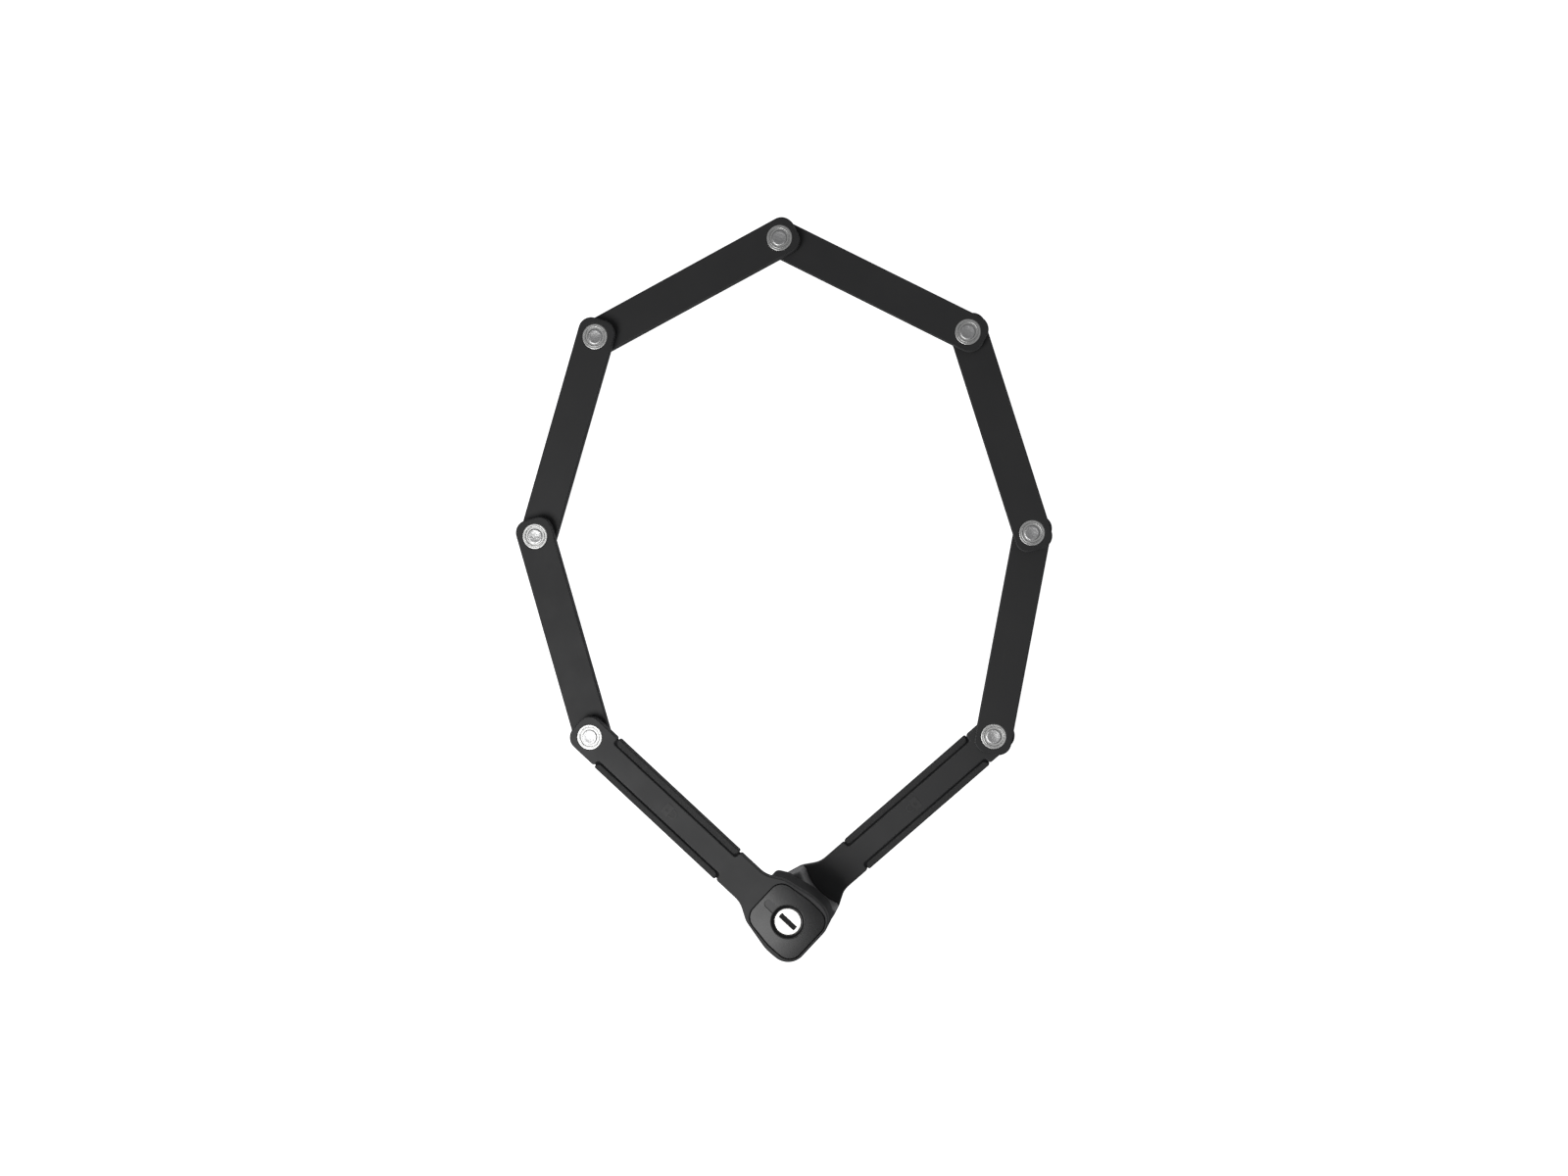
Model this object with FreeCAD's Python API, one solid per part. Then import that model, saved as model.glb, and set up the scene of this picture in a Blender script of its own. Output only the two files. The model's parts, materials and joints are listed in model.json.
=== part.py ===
import FreeCAD, Part
import math
import os

# Folding bike lock: two arms and six links, riveted one on top of the other, closed into a loop.
# Millimetres. The loop lies flat: +Z is up and every hinge axis runs along Z. The origin is on the
# lock axis, at the plane the lock rests on. The key arm is the top level, the socket arm the bottom.

# ---- chain ----
link_count = 6
link_pitch = 99.0
headings = [137.85, 106.02, 73.29, 27.59, -26.69, -72.15]   # key arm, then all links but the last
strip_width = 17.8
end_reach = 8.6
end_corner = 6.2
plate_height = 4.4
level_gap = 0.6
core_height = 3.0
core_side_wall = 0.8
edge_round = 0.6
fold_clearance = 0.5

# ---- rivets ----
pin_radius = 3.65
collar_radius = 6.15
running_clearance = 0.05
upper_proud = 0.2
lower_recess = 0.1
pin_sink = 0.1
pin_bevel = 0.3
collar_bevel = 0.4
collar_bevel_drop = 0.25
collar_slope_drop = 0.08
ridge_outer = 1.15            # beyond the pin
ridge_inner = 0.85
collar_groove_width = 0.5
collar_groove_depth = 0.4

# ---- arm bumpers ----
bumper_start = 11.0
bumper_length = 78.0
bumper_width = 2.9
bumper_side_proud = 0.35
bumper_top_proud = 0.15
bumper_inner_round = 2.4
bumper_outer_round = 0.8
groove = 0.2

# ---- heads, with u along the arm from the lock axis to the free end ----
head_reach = 19.9
head_end = 16.0
head_end_half = 16.4
head_end_round = 9.5
belly_u = 1.0
belly_half = 17.1
belly_round = 20.0
shoulder_u = -14.6
shoulder_round = 9.0
neck_u = -22.8
neck_round = 12.0
key_neck = (0.0, 13.7)          # how far neck and shoulder are moved, and the shoulder's half width
socket_neck = (0.0, 13.7)
wall_round = 3.0
scoop_reach = 13.4              # the socket's block is hollowed out towards the strip
scoop_radius = 25.0
head_edge_round = 1.0
core_eye_radius = 12.9
eye_corner = 1.0

# ---- cap let into the top of the key head ----
cap_near_u = -16.2
cap_far_u = 14.8
cap_near_half = 12.2
cap_middle_half = 14.7
cap_far_half = 14.2
cap_near_round = 6.5
cap_middle_round = 30.0
cap_far_round = 6.8
notch_start = -14.3
notch_width = 4.0
notch_depth = 0.45

# ---- lock cylinder and bolt ----
fit = 0.05
sleeve_radius = 8.2
dish_depth = 0.7
sleeve_rim_sink = 0.1
sleeve_rim_width = 0.3
plug_radius = 6.4
plug_top_sink = 0.55
plug_height = 7.0
plug_face_thickness = 1.6
plug_bore = 5.0
plug_bevel = 0.3
keyway_length = 9.1
keyway_width = 2.0
disc_pitch = 1.0
disc_gap = 0.2
disc_keyway_share = 0.75
cam_height = 1.3
cam_radius = 5.5
stem_radius = 2.0
washer_height = 0.6
bolt_radius = 5.0
bolt_height = 8.5
bolt_travel = 8.0
bolt_bevel = 0.6
bolt_nose = 1.0
stem_clearance = 0.6
mouth_bevel = 0.8
socket_clearance = 0.2
socket_extra_depth = 2.0
bush_floor = 1.5

# ---- screws and base covers ----
base_height = 1.2
base_inset = 2.2
screw_circle = 11.0
screw_angles = [45.0, -45.0, 180.0]
screw_radius = 1.0
screw_head_radius = 1.7
screw_head_height = 0.9
screw_socket_radius = 0.8
screw_socket_depth = 0.6
screw_bite = 4.0

# ---- making ----
past = 1.0                    # how far a cutter runs past the face it cuts

# ---- worked out from the above ----
level_pitch = plate_height + level_gap
top_level = link_count + 1
skin = (plate_height - core_height) / 2
half_width = strip_width / 2
arm_pitch = link_pitch + end_reach + fold_clearance + head_reach
head_levels = (link_count + 2) // 2
key_floor = head_levels * level_pitch
key_roof = top_level * level_pitch + plate_height
socket_roof = (head_levels - 1) * level_pitch + plate_height


def vec(x, y, z=0.0):
    return FreeCAD.Vector(x, y, z)


def direction(degrees):
    return vec(math.cos(math.radians(degrees)), math.sin(math.radians(degrees)))


def bearing(start, end):
    return math.degrees(math.atan2(end.y - start.y, end.x - start.x))


def rounded_wire(corners):
    """Closed outline through corners (x, y, radius), each rounded by a tangent arc."""
    count = len(corners)
    points = [vec(x, y) for x, y, _ in corners]
    arcs = []
    for i, (_, _, radius) in enumerate(corners):
        here = points[i]
        back = (points[i - 1] - here).normalize()
        ahead = (points[(i + 1) % count] - here).normalize()
        half_angle = back.getAngle(ahead) / 2
        cut = radius / math.tan(half_angle)
        middle = (back + ahead).normalize()
        centre = here + middle * (radius / math.sin(half_angle))
        arcs.append((here + back * cut, centre - middle * radius, here + ahead * cut))
    edges = []
    for i, (start, through, end) in enumerate(arcs):
        edges.append(Part.Arc(start, through, end).toShape())
        edges.append(Part.LineSegment(end, arcs[(i + 1) % count][0]).toShape())
    return Part.Wire(edges)


def slab(wire, low, high):
    """The outline as a flat solid between two heights."""
    solid = Part.Face(wire).extrude(vec(0, 0, high - low))
    solid.translate(vec(0, 0, low))
    return solid


def both_sides(upper_half):
    """Corners of a shape that is the same on both sides of its axis."""
    return upper_half + [(x, -y, radius) for x, y, radius in reversed(upper_half)]


def cylinder(radius, low, high, x=0.0, y=0.0):
    return Part.makeCylinder(radius, high - low, vec(x, y, low))


def ring(outer, inner, low, high):
    return cylinder(outer, low, high).cut(cylinder(inner, low - past, high + past))


def box(length, width, low, high, x=0.0, y=0.0):
    """A block centred on x, y."""
    return Part.makeBox(length, width, high - low, vec(x - length / 2, y - width / 2, low))


def turned(profile):
    """A solid of revolution about Z from (radius, height) points."""
    points = [vec(r, 0, z) for r, z in profile]
    face = Part.Face(Part.makePolygon(points + points[:1]))
    return face.revolve(vec(0, 0), vec(0, 0, 1), 360)


def round_rims(solid, heights, radius):
    """Round every edge that lies in one of these horizontal planes."""
    rims = []
    for edge in solid.Edges:
        limits = edge.BoundBox
        level = any(abs(limits.ZMin - z) < 1e-6 and abs(limits.ZMax - z) < 1e-6 for z in heights)
        if level:
            rims.append(edge)
    return solid.makeFillet(radius, rims)


def placed(solid, point, turn):
    """A copy turned about Z and moved in the plane."""
    copy = solid.copy()
    copy.rotate(vec(0, 0), vec(0, 0, 1), turn)
    copy.translate(vec(point.x, point.y))
    return copy


def save(name, *solids):
    """Write one sub-part; several solids go in as one compound."""
    shape = solids[0] if len(solids) == 1 else Part.makeCompound(solids)
    shape.exportStep("parts/" + name + ".step")


def level_floor(level):
    return level * level_pitch


def meeting_point(near, near_reach, far, far_reach):
    """Where two rigid lengths from near and far meet, on the right-hand side going near to far."""
    span = far - near
    along = (span.Length ** 2 + near_reach ** 2 - far_reach ** 2) / (2 * span.Length)
    aside = math.sqrt(near_reach ** 2 - along ** 2)
    unit = span * (1 / span.Length)
    return near + unit * along + vec(unit.y, -unit.x) * aside


def rivet_points():
    """Lock axis, then the rivets round the loop; the last one closes it."""
    points = [vec(0, 0)]
    for i, heading in enumerate(headings):
        reach = arm_pitch if i == 0 else link_pitch
        points.append(points[-1] + direction(heading) * reach)
    closing = meeting_point(points[0], arm_pitch, points[-1], link_pitch)
    return points + [closing]


# ---------------------------------------------------------------- links
def strip_corners(far_x, inset):
    """Flat bar round x = 0 with its other end reaching past far_x."""
    reach = end_reach - inset
    half = half_width - inset
    corner = end_corner - inset
    return both_sides([(-reach, half, corner), (far_x + reach, half, corner)])


def rivet_holes(low, high, radius, centres):
    holes = [cylinder(radius, low - past, high + past, x) for x in centres]
    return Part.makeCompound(holes)


def link_core(floor):
    low = floor + skin
    high = low + core_height
    plate = slab(rounded_wire(strip_corners(link_pitch, core_side_wall)), low, high)
    return plate.cut(rivet_holes(low, high, pin_radius + running_clearance, (0, link_pitch)))


def link_jacket(floor):
    high = floor + plate_height
    block = slab(rounded_wire(strip_corners(link_pitch, 0)), floor, high)
    block = round_rims(block, (floor, high), edge_round)
    bore = collar_radius + running_clearance
    seat = slab(rounded_wire(strip_corners(link_pitch, core_side_wall)), floor + skin, high - skin)
    return block.cut(seat).cut(rivet_holes(floor, high, bore, (0, link_pitch)))


# ---------------------------------------------------------------- rivets
def rivet_pin(lower_floor):
    """Headed pin through two plates, bevelled at both ends."""
    low = lower_floor + lower_recess + pin_sink
    high = lower_floor + level_pitch + plate_height + upper_proud - pin_sink
    inner = pin_radius - pin_bevel
    return turned([(0, low), (inner, low), (pin_radius, low + pin_bevel),
                   (pin_radius, high - pin_bevel), (inner, high), (0, high)])


def collar(seat, crown):
    """Ring round the pin's end: seat is the side on the plate, crown the height of its ridge."""
    way = 1 if crown > seat else -1
    bevel_end = crown - way * collar_bevel_drop
    slope_end = crown - way * collar_slope_drop
    groove_floor = crown - way * collar_groove_depth
    return turned([(pin_radius, seat), (collar_radius, seat), (collar_radius, bevel_end),
                   (collar_radius - collar_bevel, slope_end), (pin_radius + ridge_outer, crown),
                   (pin_radius + ridge_inner, crown), (pin_radius + collar_groove_width, groove_floor),
                   (pin_radius, groove_floor)])


def rivet_collars(lower_floor):
    upper_seat = lower_floor + level_pitch + plate_height - skin + running_clearance
    upper_crown = lower_floor + level_pitch + plate_height + upper_proud
    lower_seat = lower_floor + skin - running_clearance
    lower_crown = lower_floor + lower_recess
    return collar(upper_seat, upper_crown), collar(lower_seat, lower_crown)


def rivet_spacer(lower_floor):
    """Washer between the two steel plates."""
    low = lower_floor + plate_height - skin + running_clearance
    high = lower_floor + level_pitch + skin - running_clearance
    return ring(collar_radius, pin_radius, low, high)


# ---------------------------------------------------------------- arms, in their own frame
# The lock axis is at 0, 0 and the rivet at -arm_pitch, 0.
def head_side(neck, inset):
    """One side of the head past its neck: shoulder, belly and end."""
    shift, shoulder_half = neck
    return [(shoulder_u + shift, shoulder_half - inset, shoulder_round - inset),
            (belly_u, belly_half - inset, belly_round - inset),
            (head_end - inset, head_end_half - inset, head_end_round - inset)]


def arm_outline(neck):
    strip = [(-arm_pitch - end_reach, half_width, end_corner),
             (neck_u + neck[0], half_width, neck_round)]
    return rounded_wire(both_sides(strip + head_side(neck, 0)))


def block_outline(neck, inset):
    """The thick part of the head, cut square where the folded links end."""
    shoulder, belly, end = head_side(neck, inset)
    wall = -head_reach + inset
    if shoulder[0] > wall + wall_round:
        behind = (neck_u + neck[0], half_width - inset)
        sides = [shoulder, belly, end]
    else:
        behind = shoulder
        sides = [belly, end]
    ahead = sides[0]
    share = (wall - behind[0]) / (ahead[0] - behind[0])
    wall_half = behind[1] + share * (ahead[1] - behind[1])
    return rounded_wire(both_sides([(wall, wall_half, wall_round)] + sides))


def bumper_outline(side, grow):
    """Rubber strip along one edge of the arm; grow widens it on the side of the cover."""
    start = -arm_pitch + bumper_start - grow
    end = -arm_pitch + bumper_start + bumper_length + grow
    inner = side * (half_width - bumper_width - grow)
    outer = side * (half_width + bumper_side_proud + (past if grow else 0))
    return rounded_wire([(start, inner, bumper_inner_round), (end, inner, bumper_inner_round),
                         (end, outer, bumper_outer_round), (start, outer, bumper_outer_round)])


def cap_outline(grow):
    upper = [(cap_near_u - grow, cap_near_half + grow, cap_near_round + grow),
             (belly_u, cap_middle_half + grow, cap_middle_round),
             (cap_far_u + grow, cap_far_half + grow, cap_far_round + grow)]
    return rounded_wire(both_sides(upper))


def screw_places():
    return [direction(angle) * screw_circle for angle in screw_angles]


def screw_bores(radius, low, high):
    return Part.makeCompound([cylinder(radius, low, high, p.x, p.y) for p in screw_places()])


def arm_core(floor, eye_bore):
    """Steel strip with an eye in the head."""
    low = floor + skin
    high = low + core_height
    reach = end_reach - core_side_wall
    half = half_width - core_side_wall
    corner = end_corner - core_side_wall
    corners = both_sides([(-arm_pitch - reach, half, corner), (0, half, eye_corner)])
    strip = slab(rounded_wire(corners), low, high)
    plate = strip.fuse(cylinder(core_eye_radius, low, high)).removeSplitter()
    plate = plate.cut(cylinder(pin_radius + running_clearance, low - past, high + past, -arm_pitch))
    if eye_bore:
        plate = plate.cut(cylinder(eye_bore, low - past, high + past))
    return plate.cut(screw_bores(screw_radius + fit, low - past, high + past))


def arm_bumper(floor, side, core):
    high = floor + plate_height + bumper_top_proud
    strip = slab(bumper_outline(side, 0), floor, high)
    strip = round_rims(strip, (high,), edge_round)
    return strip.cut(core)


def arm_cover(floor, neck, core, top_round, bottom_round):
    """Moulded cover of the arm and the head's outer layer."""
    high = floor + plate_height
    block = slab(arm_outline(neck), floor, high)
    block = round_rims(block, (high,), top_round)
    block = round_rims(block, (floor,), bottom_round)
    block = block.cut(core)
    for side in (1, -1):
        block = block.cut(slab(bumper_outline(side, groove), floor - past, high + past))
    block = block.cut(cylinder(collar_radius + running_clearance, floor - past, high + past, -arm_pitch))
    return block.cut(screw_bores(screw_radius + fit, floor - past, high + past))


def screws(seat, way, tip):
    """Socket screws with their heads at seat; way is +1 when they are driven upwards."""
    head_top = seat + way * screw_head_height
    solids = []
    for place in screw_places():
        low, high = sorted((seat, head_top))
        head = cylinder(screw_head_radius, low, high, place.x, place.y)
        low, high = sorted((head_top, tip))
        shank = cylinder(screw_radius, low, high, place.x, place.y)
        low, high = sorted((seat, seat + way * screw_socket_depth))
        socket = cylinder(screw_socket_radius, low, high, place.x, place.y)
        solids.append(head.fuse(shank).removeSplitter().cut(socket))
    return solids


# ---------------------------------------------------------------- key arm
def key_arm_parts():
    floor = level_floor(top_level)
    cap_floor = key_roof - skin
    sleeve_bore = sleeve_radius + fit
    core = arm_core(floor, sleeve_bore)
    cover = arm_cover(floor, key_neck, core, head_edge_round, edge_round)
    cover = cover.cut(slab(cap_outline(groove), cap_floor, key_roof + past))
    cover = cover.cut(cylinder(sleeve_bore, floor - past, key_roof + past))

    cap = slab(cap_outline(0), cap_floor, key_roof)
    cap = cap.cut(cylinder(sleeve_bore, cap_floor - past, key_roof + past))
    notch_end = -sleeve_radius
    notch_floor = key_roof - notch_depth
    notch_middle = (notch_start + notch_end) / 2
    notch = box(notch_end - notch_start, notch_width, notch_floor, key_roof + past, notch_middle)
    notch = notch.fuse(cylinder(notch_width / 2, notch_floor, key_roof + past, notch_start))
    cap = cap.cut(notch)

    plug_top = key_roof - plug_top_sink
    plug_floor = plug_top - plug_height
    cam_floor = plug_floor - fit - cam_height
    washer_roof = cam_floor - fit
    washer_floor = washer_roof - washer_height
    base_roof = key_floor + base_height
    dish_floor = key_roof - dish_depth
    rim = key_roof - sleeve_rim_sink
    sleeve = turned([(plug_radius + fit, washer_roof), (sleeve_radius, washer_roof),
                     (sleeve_radius, rim), (sleeve_radius - sleeve_rim_width, rim),
                     (plug_radius + fit, dish_floor)])
    guide = ring(sleeve_radius, bolt_radius + fit, base_roof, washer_floor)
    washer = ring(sleeve_radius, stem_radius + fit, washer_floor, washer_roof)

    housing = slab(block_outline(key_neck, 0), key_floor, floor)
    housing = round_rims(housing, (key_floor,), head_edge_round)
    housing = housing.cut(cylinder(sleeve_bore, key_floor - past, floor + past))
    recess = block_outline(key_neck, base_inset - groove)
    housing = housing.cut(slab(recess, key_floor - past, base_roof))
    housing = housing.cut(screw_bores(screw_radius + fit, key_floor - past, floor + past))

    base = slab(block_outline(key_neck, base_inset), key_floor, base_roof)
    base = base.cut(cylinder(bolt_radius + socket_clearance, key_floor - past, base_roof + past))
    head_roof = key_floor + screw_head_height + fit
    base = base.cut(screw_bores(screw_head_radius + fit, key_floor - past, head_roof))
    base = base.cut(screw_bores(screw_radius + fit, key_floor, base_roof + past))
    base_screws = screws(key_floor, 1, floor + skin + core_height)

    parts = {"key_arm_core": core, "key_arm_cover": cover,
             "key_head_cap": cap, "key_head_housing": housing, "key_head_base": base,
             "cylinder_sleeve": sleeve, "bolt_guide": guide, "thrust_washer": washer,
             "key_arm_bumper_outer": arm_bumper(floor, -1, core),
             "key_arm_bumper_inner": arm_bumper(floor, 1, core),
             "key_head_screws": base_screws}
    parts.update(plug_parts(plug_top, plug_floor, cam_floor))
    return parts


def plug_parts(plug_top, plug_floor, cam_floor):
    """Key plug with its discs and cam, and the bolt below them."""
    keyway = box(keyway_length, keyway_width, plug_floor - past, plug_top + past)
    bore_roof = plug_top - plug_face_thickness
    shell = turned([(0, plug_floor), (plug_radius, plug_floor), (plug_radius, plug_top - plug_bevel),
                    (plug_radius - plug_bevel, plug_top), (0, plug_top)])
    shell = shell.cut(cylinder(plug_bore, plug_floor - past, bore_roof)).cut(keyway)
    discs = []
    disc_floor = plug_floor + disc_gap
    disc_keyway = box(keyway_length * disc_keyway_share, keyway_width, plug_floor - past, plug_top)
    while disc_floor + disc_pitch <= bore_roof:
        disc = cylinder(plug_bore - fit, disc_floor, disc_floor + disc_pitch - disc_gap)
        discs.append(disc.cut(disc_keyway))
        disc_floor += disc_pitch

    bolt_floor = key_floor + base_height + fit
    bolt_roof = cam_floor - washer_height - 3 * fit
    bore_floor = bolt_floor + bolt_nose
    bolt = turned([(0, bolt_floor), (bolt_radius - bolt_bevel, bolt_floor),
                   (bolt_radius, bolt_floor + bolt_bevel), (bolt_radius, bolt_roof), (0, bolt_roof)])
    bolt = bolt.cut(cylinder(stem_radius + fit, bore_floor, bolt_roof + past))
    cam = cylinder(cam_radius, cam_floor, cam_floor + cam_height)
    cam = cam.fuse(cylinder(stem_radius, bore_floor + stem_clearance, cam_floor)).removeSplitter()
    return {"plug_shell": shell, "plug_discs": discs, "drive_cam": cam, "lock_bolt": bolt}


# ---------------------------------------------------------------- socket arm
def socket_arm_parts():
    floor = level_floor(0)
    roof = floor + plate_height
    core = arm_core(floor, 0)
    cover = arm_cover(floor, socket_neck, core, edge_round, edge_round)
    base_roof = floor + skin
    cover = cover.cut(slab(block_outline(socket_neck, base_inset - groove), floor - past, base_roof))

    bush_low = socket_roof - bolt_travel - socket_extra_depth - bush_floor
    bush = cylinder(sleeve_radius, bush_low, socket_roof)
    bush = bush.cut(cylinder(bolt_radius + socket_clearance, bush_low + bush_floor, socket_roof + past))
    mouth_radius = bolt_radius + socket_clearance
    mouth_floor = vec(0, 0, socket_roof - mouth_bevel)
    bush = bush.cut(Part.makeCone(mouth_radius, mouth_radius + mouth_bevel, mouth_bevel, mouth_floor))

    housing = slab(block_outline(socket_neck, 0), roof, socket_roof)
    housing = round_rims(housing, (socket_roof,), head_edge_round)
    scoop_centre = vec(-scoop_reach - scoop_radius, 0, roof - past)
    housing = housing.cut(Part.makeCylinder(scoop_radius, socket_roof - roof + 2 * past, scoop_centre))
    housing = housing.cut(cylinder(sleeve_radius + fit, bush_low, socket_roof + past))
    tip = roof + screw_bite
    housing = housing.cut(screw_bores(screw_radius + fit, roof - past, tip + fit))

    base = slab(block_outline(socket_neck, base_inset), floor, base_roof)
    base = base.cut(screw_bores(screw_head_radius + fit, floor - past, base_roof + past))
    core = core.cut(screw_bores(screw_head_radius + fit, floor, floor + screw_head_height + fit))
    return {"socket_arm_core": core, "socket_arm_cover": cover,
            "socket_housing": housing, "socket_bush": bush, "socket_base": base,
            "socket_arm_bumper_inner": arm_bumper(floor, -1, core),
            "socket_arm_bumper_outer": arm_bumper(floor, 1, core),
            "socket_screws": screws(floor, 1, tip)}


# ---------------------------------------------------------------- assembly
def save_parts(parts, turn):
    for name, solids in parts.items():
        solids = solids if isinstance(solids, list) else [solids]
        save(name, *[placed(solid, vec(0, 0), turn) for solid in solids])


def main():
    os.makedirs("parts", exist_ok=True)
    points = rivet_points()
    save_parts(key_arm_parts(), bearing(points[1], points[0]))
    save_parts(socket_arm_parts(), bearing(points[-1], points[0]))
    for number in range(1, link_count + 1):
        start, end = points[number], points[number + 1]
        floor = level_floor(top_level - number)
        turn = bearing(start, end)
        save("link_%d_core" % number, placed(link_core(floor), start, turn))
        save("link_%d_jacket" % number, placed(link_jacket(floor), start, turn))
    for number in range(1, link_count + 2):
        point = points[number]
        floor = level_floor(top_level - number)
        save("rivet_%d_pin" % number, placed(rivet_pin(floor), point, 0))
        save("rivet_%d_collars" % number, *[placed(ring_, point, 0) for ring_ in rivet_collars(floor)])
        save("rivet_%d_spacer" % number, placed(rivet_spacer(floor), point, 0))
    for point in points:
        print("axis", round(point.x, 4), round(point.y, 4))


main()
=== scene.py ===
import json
import math

import bpy
from mathutils import Matrix, Vector


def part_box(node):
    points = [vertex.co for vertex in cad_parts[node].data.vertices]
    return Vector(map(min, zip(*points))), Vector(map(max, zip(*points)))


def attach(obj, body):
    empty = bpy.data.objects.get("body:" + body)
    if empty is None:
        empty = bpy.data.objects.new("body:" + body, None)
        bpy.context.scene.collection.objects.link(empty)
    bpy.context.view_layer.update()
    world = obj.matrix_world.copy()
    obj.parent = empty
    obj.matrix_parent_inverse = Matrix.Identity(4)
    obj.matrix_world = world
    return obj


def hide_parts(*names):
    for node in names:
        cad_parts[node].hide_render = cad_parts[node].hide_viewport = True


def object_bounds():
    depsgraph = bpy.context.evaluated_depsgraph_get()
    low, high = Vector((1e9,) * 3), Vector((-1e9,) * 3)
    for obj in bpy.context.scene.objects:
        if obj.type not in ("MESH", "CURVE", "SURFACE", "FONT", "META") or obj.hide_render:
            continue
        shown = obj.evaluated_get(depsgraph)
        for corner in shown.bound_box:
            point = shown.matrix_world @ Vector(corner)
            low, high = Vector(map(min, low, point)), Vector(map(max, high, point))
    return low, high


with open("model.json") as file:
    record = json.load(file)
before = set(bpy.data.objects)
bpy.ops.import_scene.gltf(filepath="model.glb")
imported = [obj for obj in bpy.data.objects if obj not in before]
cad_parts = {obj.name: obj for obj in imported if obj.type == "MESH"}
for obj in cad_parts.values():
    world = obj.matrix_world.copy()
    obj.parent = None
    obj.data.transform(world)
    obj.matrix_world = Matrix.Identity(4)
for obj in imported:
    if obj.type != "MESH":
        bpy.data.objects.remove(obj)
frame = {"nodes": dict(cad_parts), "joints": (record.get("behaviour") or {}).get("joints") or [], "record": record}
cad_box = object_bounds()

# Folding bike lock. Sizes are in millimetres and are turned to metres where a piece is made.
MM = 0.001
link_count = 6

# links and rivets
strip_width = 17.8
end_reach = 8.6
end_corner = 6.2
jacket_round = 0.6
bore_radius = 6.2
pin_radius = 3.65
collar_radius = 6.15
collar_top_height = 0.85
collar_bottom_height = 0.55
collar_bevel = 0.45
ridge_middle = 4.72
ridge_half = 0.34
moat_depth = 0.42
pin_bevel = 0.3
pin_dimple = 0.12

# arms, with u along the arm from the lock axis and the rivet at -u
bumper_start = 11.0
bumper_length = 78.0
bumper_width = 2.9
bumper_proud = 0.35
bumper_inner_round = 2.4
bumper_outer_round = 0.8
bumper_gap = 0.4
notch_mouth_round = 1.45
cover_round = 0.6
cover_rim = 0.1

# heads
head_reach = 19.9
head_end = (16.0, 16.4, 9.5)
head_belly = (1.0, 17.1, 20.0)
head_shoulder_u = -14.6
head_shoulder_round = 9.0
head_neck_u = -22.8
head_neck_round = 12.0
shoulder_half = 13.7
wall_round = 3.0
inner_wall_round = 1.2
scoop_reach = 13.4
scoop_radius = 25.0
horn_u = -17.2
horn_round = 0.9
head_edge_round = 1.0
base_inset = 2.2
base_gap = 0.25

# cap, cylinder and keyway
cap_corners = [(-16.2, 12.2, 6.5), (1.0, 14.7, 30.0), (14.6, 14.1, 6.8)]
cap_gap = 0.3
cap_round = 0.3
cap_skin = 0.7
thumb_notch_start = -14.3
thumb_notch_width = 4.0
thumb_notch_depth = 0.45
cylinder_bore = 8.25
sleeve_radius = 8.2
plug_radius = 6.4
dish_depth = 0.7
keyway_length = 9.5
keyway_width = 2.4
# depth below the plug face of the near-black sheet that paints shade into the keyway
shade_sheet_depth = 0.3
bolt_radius = 5.0
bolt_hole = 5.2
bush_mouth = 0.8

# screws
screw_circle = 11.0
screw_angles = [45.0, -45.0, 180.0]
screw_head_radius = 1.7
screw_hex_radius = 0.95

arc_step = math.radians(6.0)

joints = {joint["name"]: joint for joint in frame["joints"]}


def rivet_axis(number):
    x, y, _ = joints["fold_%d" % number]["pos_m"]
    return Vector((x, y, 0.0))


lock_axis = Vector((joints["key_turn"]["pos_m"][0], joints["key_turn"]["pos_m"][1], 0.0))
rivets = {number: rivet_axis(number) for number in range(1, link_count + 2)}


def bearing(start, end):
    return math.atan2(end.y - start.y, end.x - start.x)


arm_pitch = (rivets[1] - lock_axis).length / MM
sign_place = -arm_pitch / 2 - 13.0
link_pitch = (rivets[2] - rivets[1]).length / MM
key_bearing = bearing(rivets[1], lock_axis)
socket_bearing = bearing(rivets[link_count + 1], lock_axis)


# ------------------------------------------------------------------ outlines
def rounded_loop(corners):
    """Closed outline through corners (x, y, radius), each one rounded."""
    points = []
    count = len(corners)
    for i, (x, y, radius) in enumerate(corners):
        here = Vector((x, y))
        back = (Vector(corners[i - 1][:2]) - here).normalized()
        ahead = (Vector(corners[(i + 1) % count][:2]) - here).normalized()
        half = back.angle(ahead) / 2
        centre = here + (back + ahead).normalized() * (radius / math.sin(half))
        spoke = here + back * (radius / math.tan(half)) - centre
        sweep = math.pi - 2 * half
        way = 1 if back.x * ahead.y - back.y * ahead.x < 0 else -1
        steps = max(2, math.ceil(sweep / arc_step))
        for k in range(steps + 1):
            angle = way * sweep * k / steps
            turned = Vector((spoke.x * math.cos(angle) - spoke.y * math.sin(angle),
                             spoke.x * math.sin(angle) + spoke.y * math.cos(angle)))
            points.append(centre + turned)
    return points


def circle_loop(radius, x=0.0, y=0.0, steps=60):
    spokes = [2 * math.pi * k / steps for k in range(steps)]
    return [Vector((x + radius * math.cos(a), y + radius * math.sin(a))) for a in spokes]


def arc_points(radius, x, y, start, end, steps):
    angles = [math.radians(start + (end - start) * k / steps) for k in range(steps + 1)]
    return [Vector((x + radius * math.cos(a), y + radius * math.sin(a))) for a in angles]


def area(loop):
    return sum(a.x * b.y - b.x * a.y for a, b in zip(loop, loop[1:] + loop[:1])) / 2


def outside(loop, crisp=False):
    return (loop if area(loop) > 0 else loop[::-1], crisp)


def hole(loop, crisp=True):
    return (loop if area(loop) < 0 else loop[::-1], crisp)


def both_sides(upper):
    return upper + [(x, -y, radius) for x, y, radius in reversed(upper)]


def strip_loop():
    half = strip_width / 2
    return rounded_loop(both_sides([(-end_reach, half, end_corner),
                                    (link_pitch + end_reach, half, end_corner)]))


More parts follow.
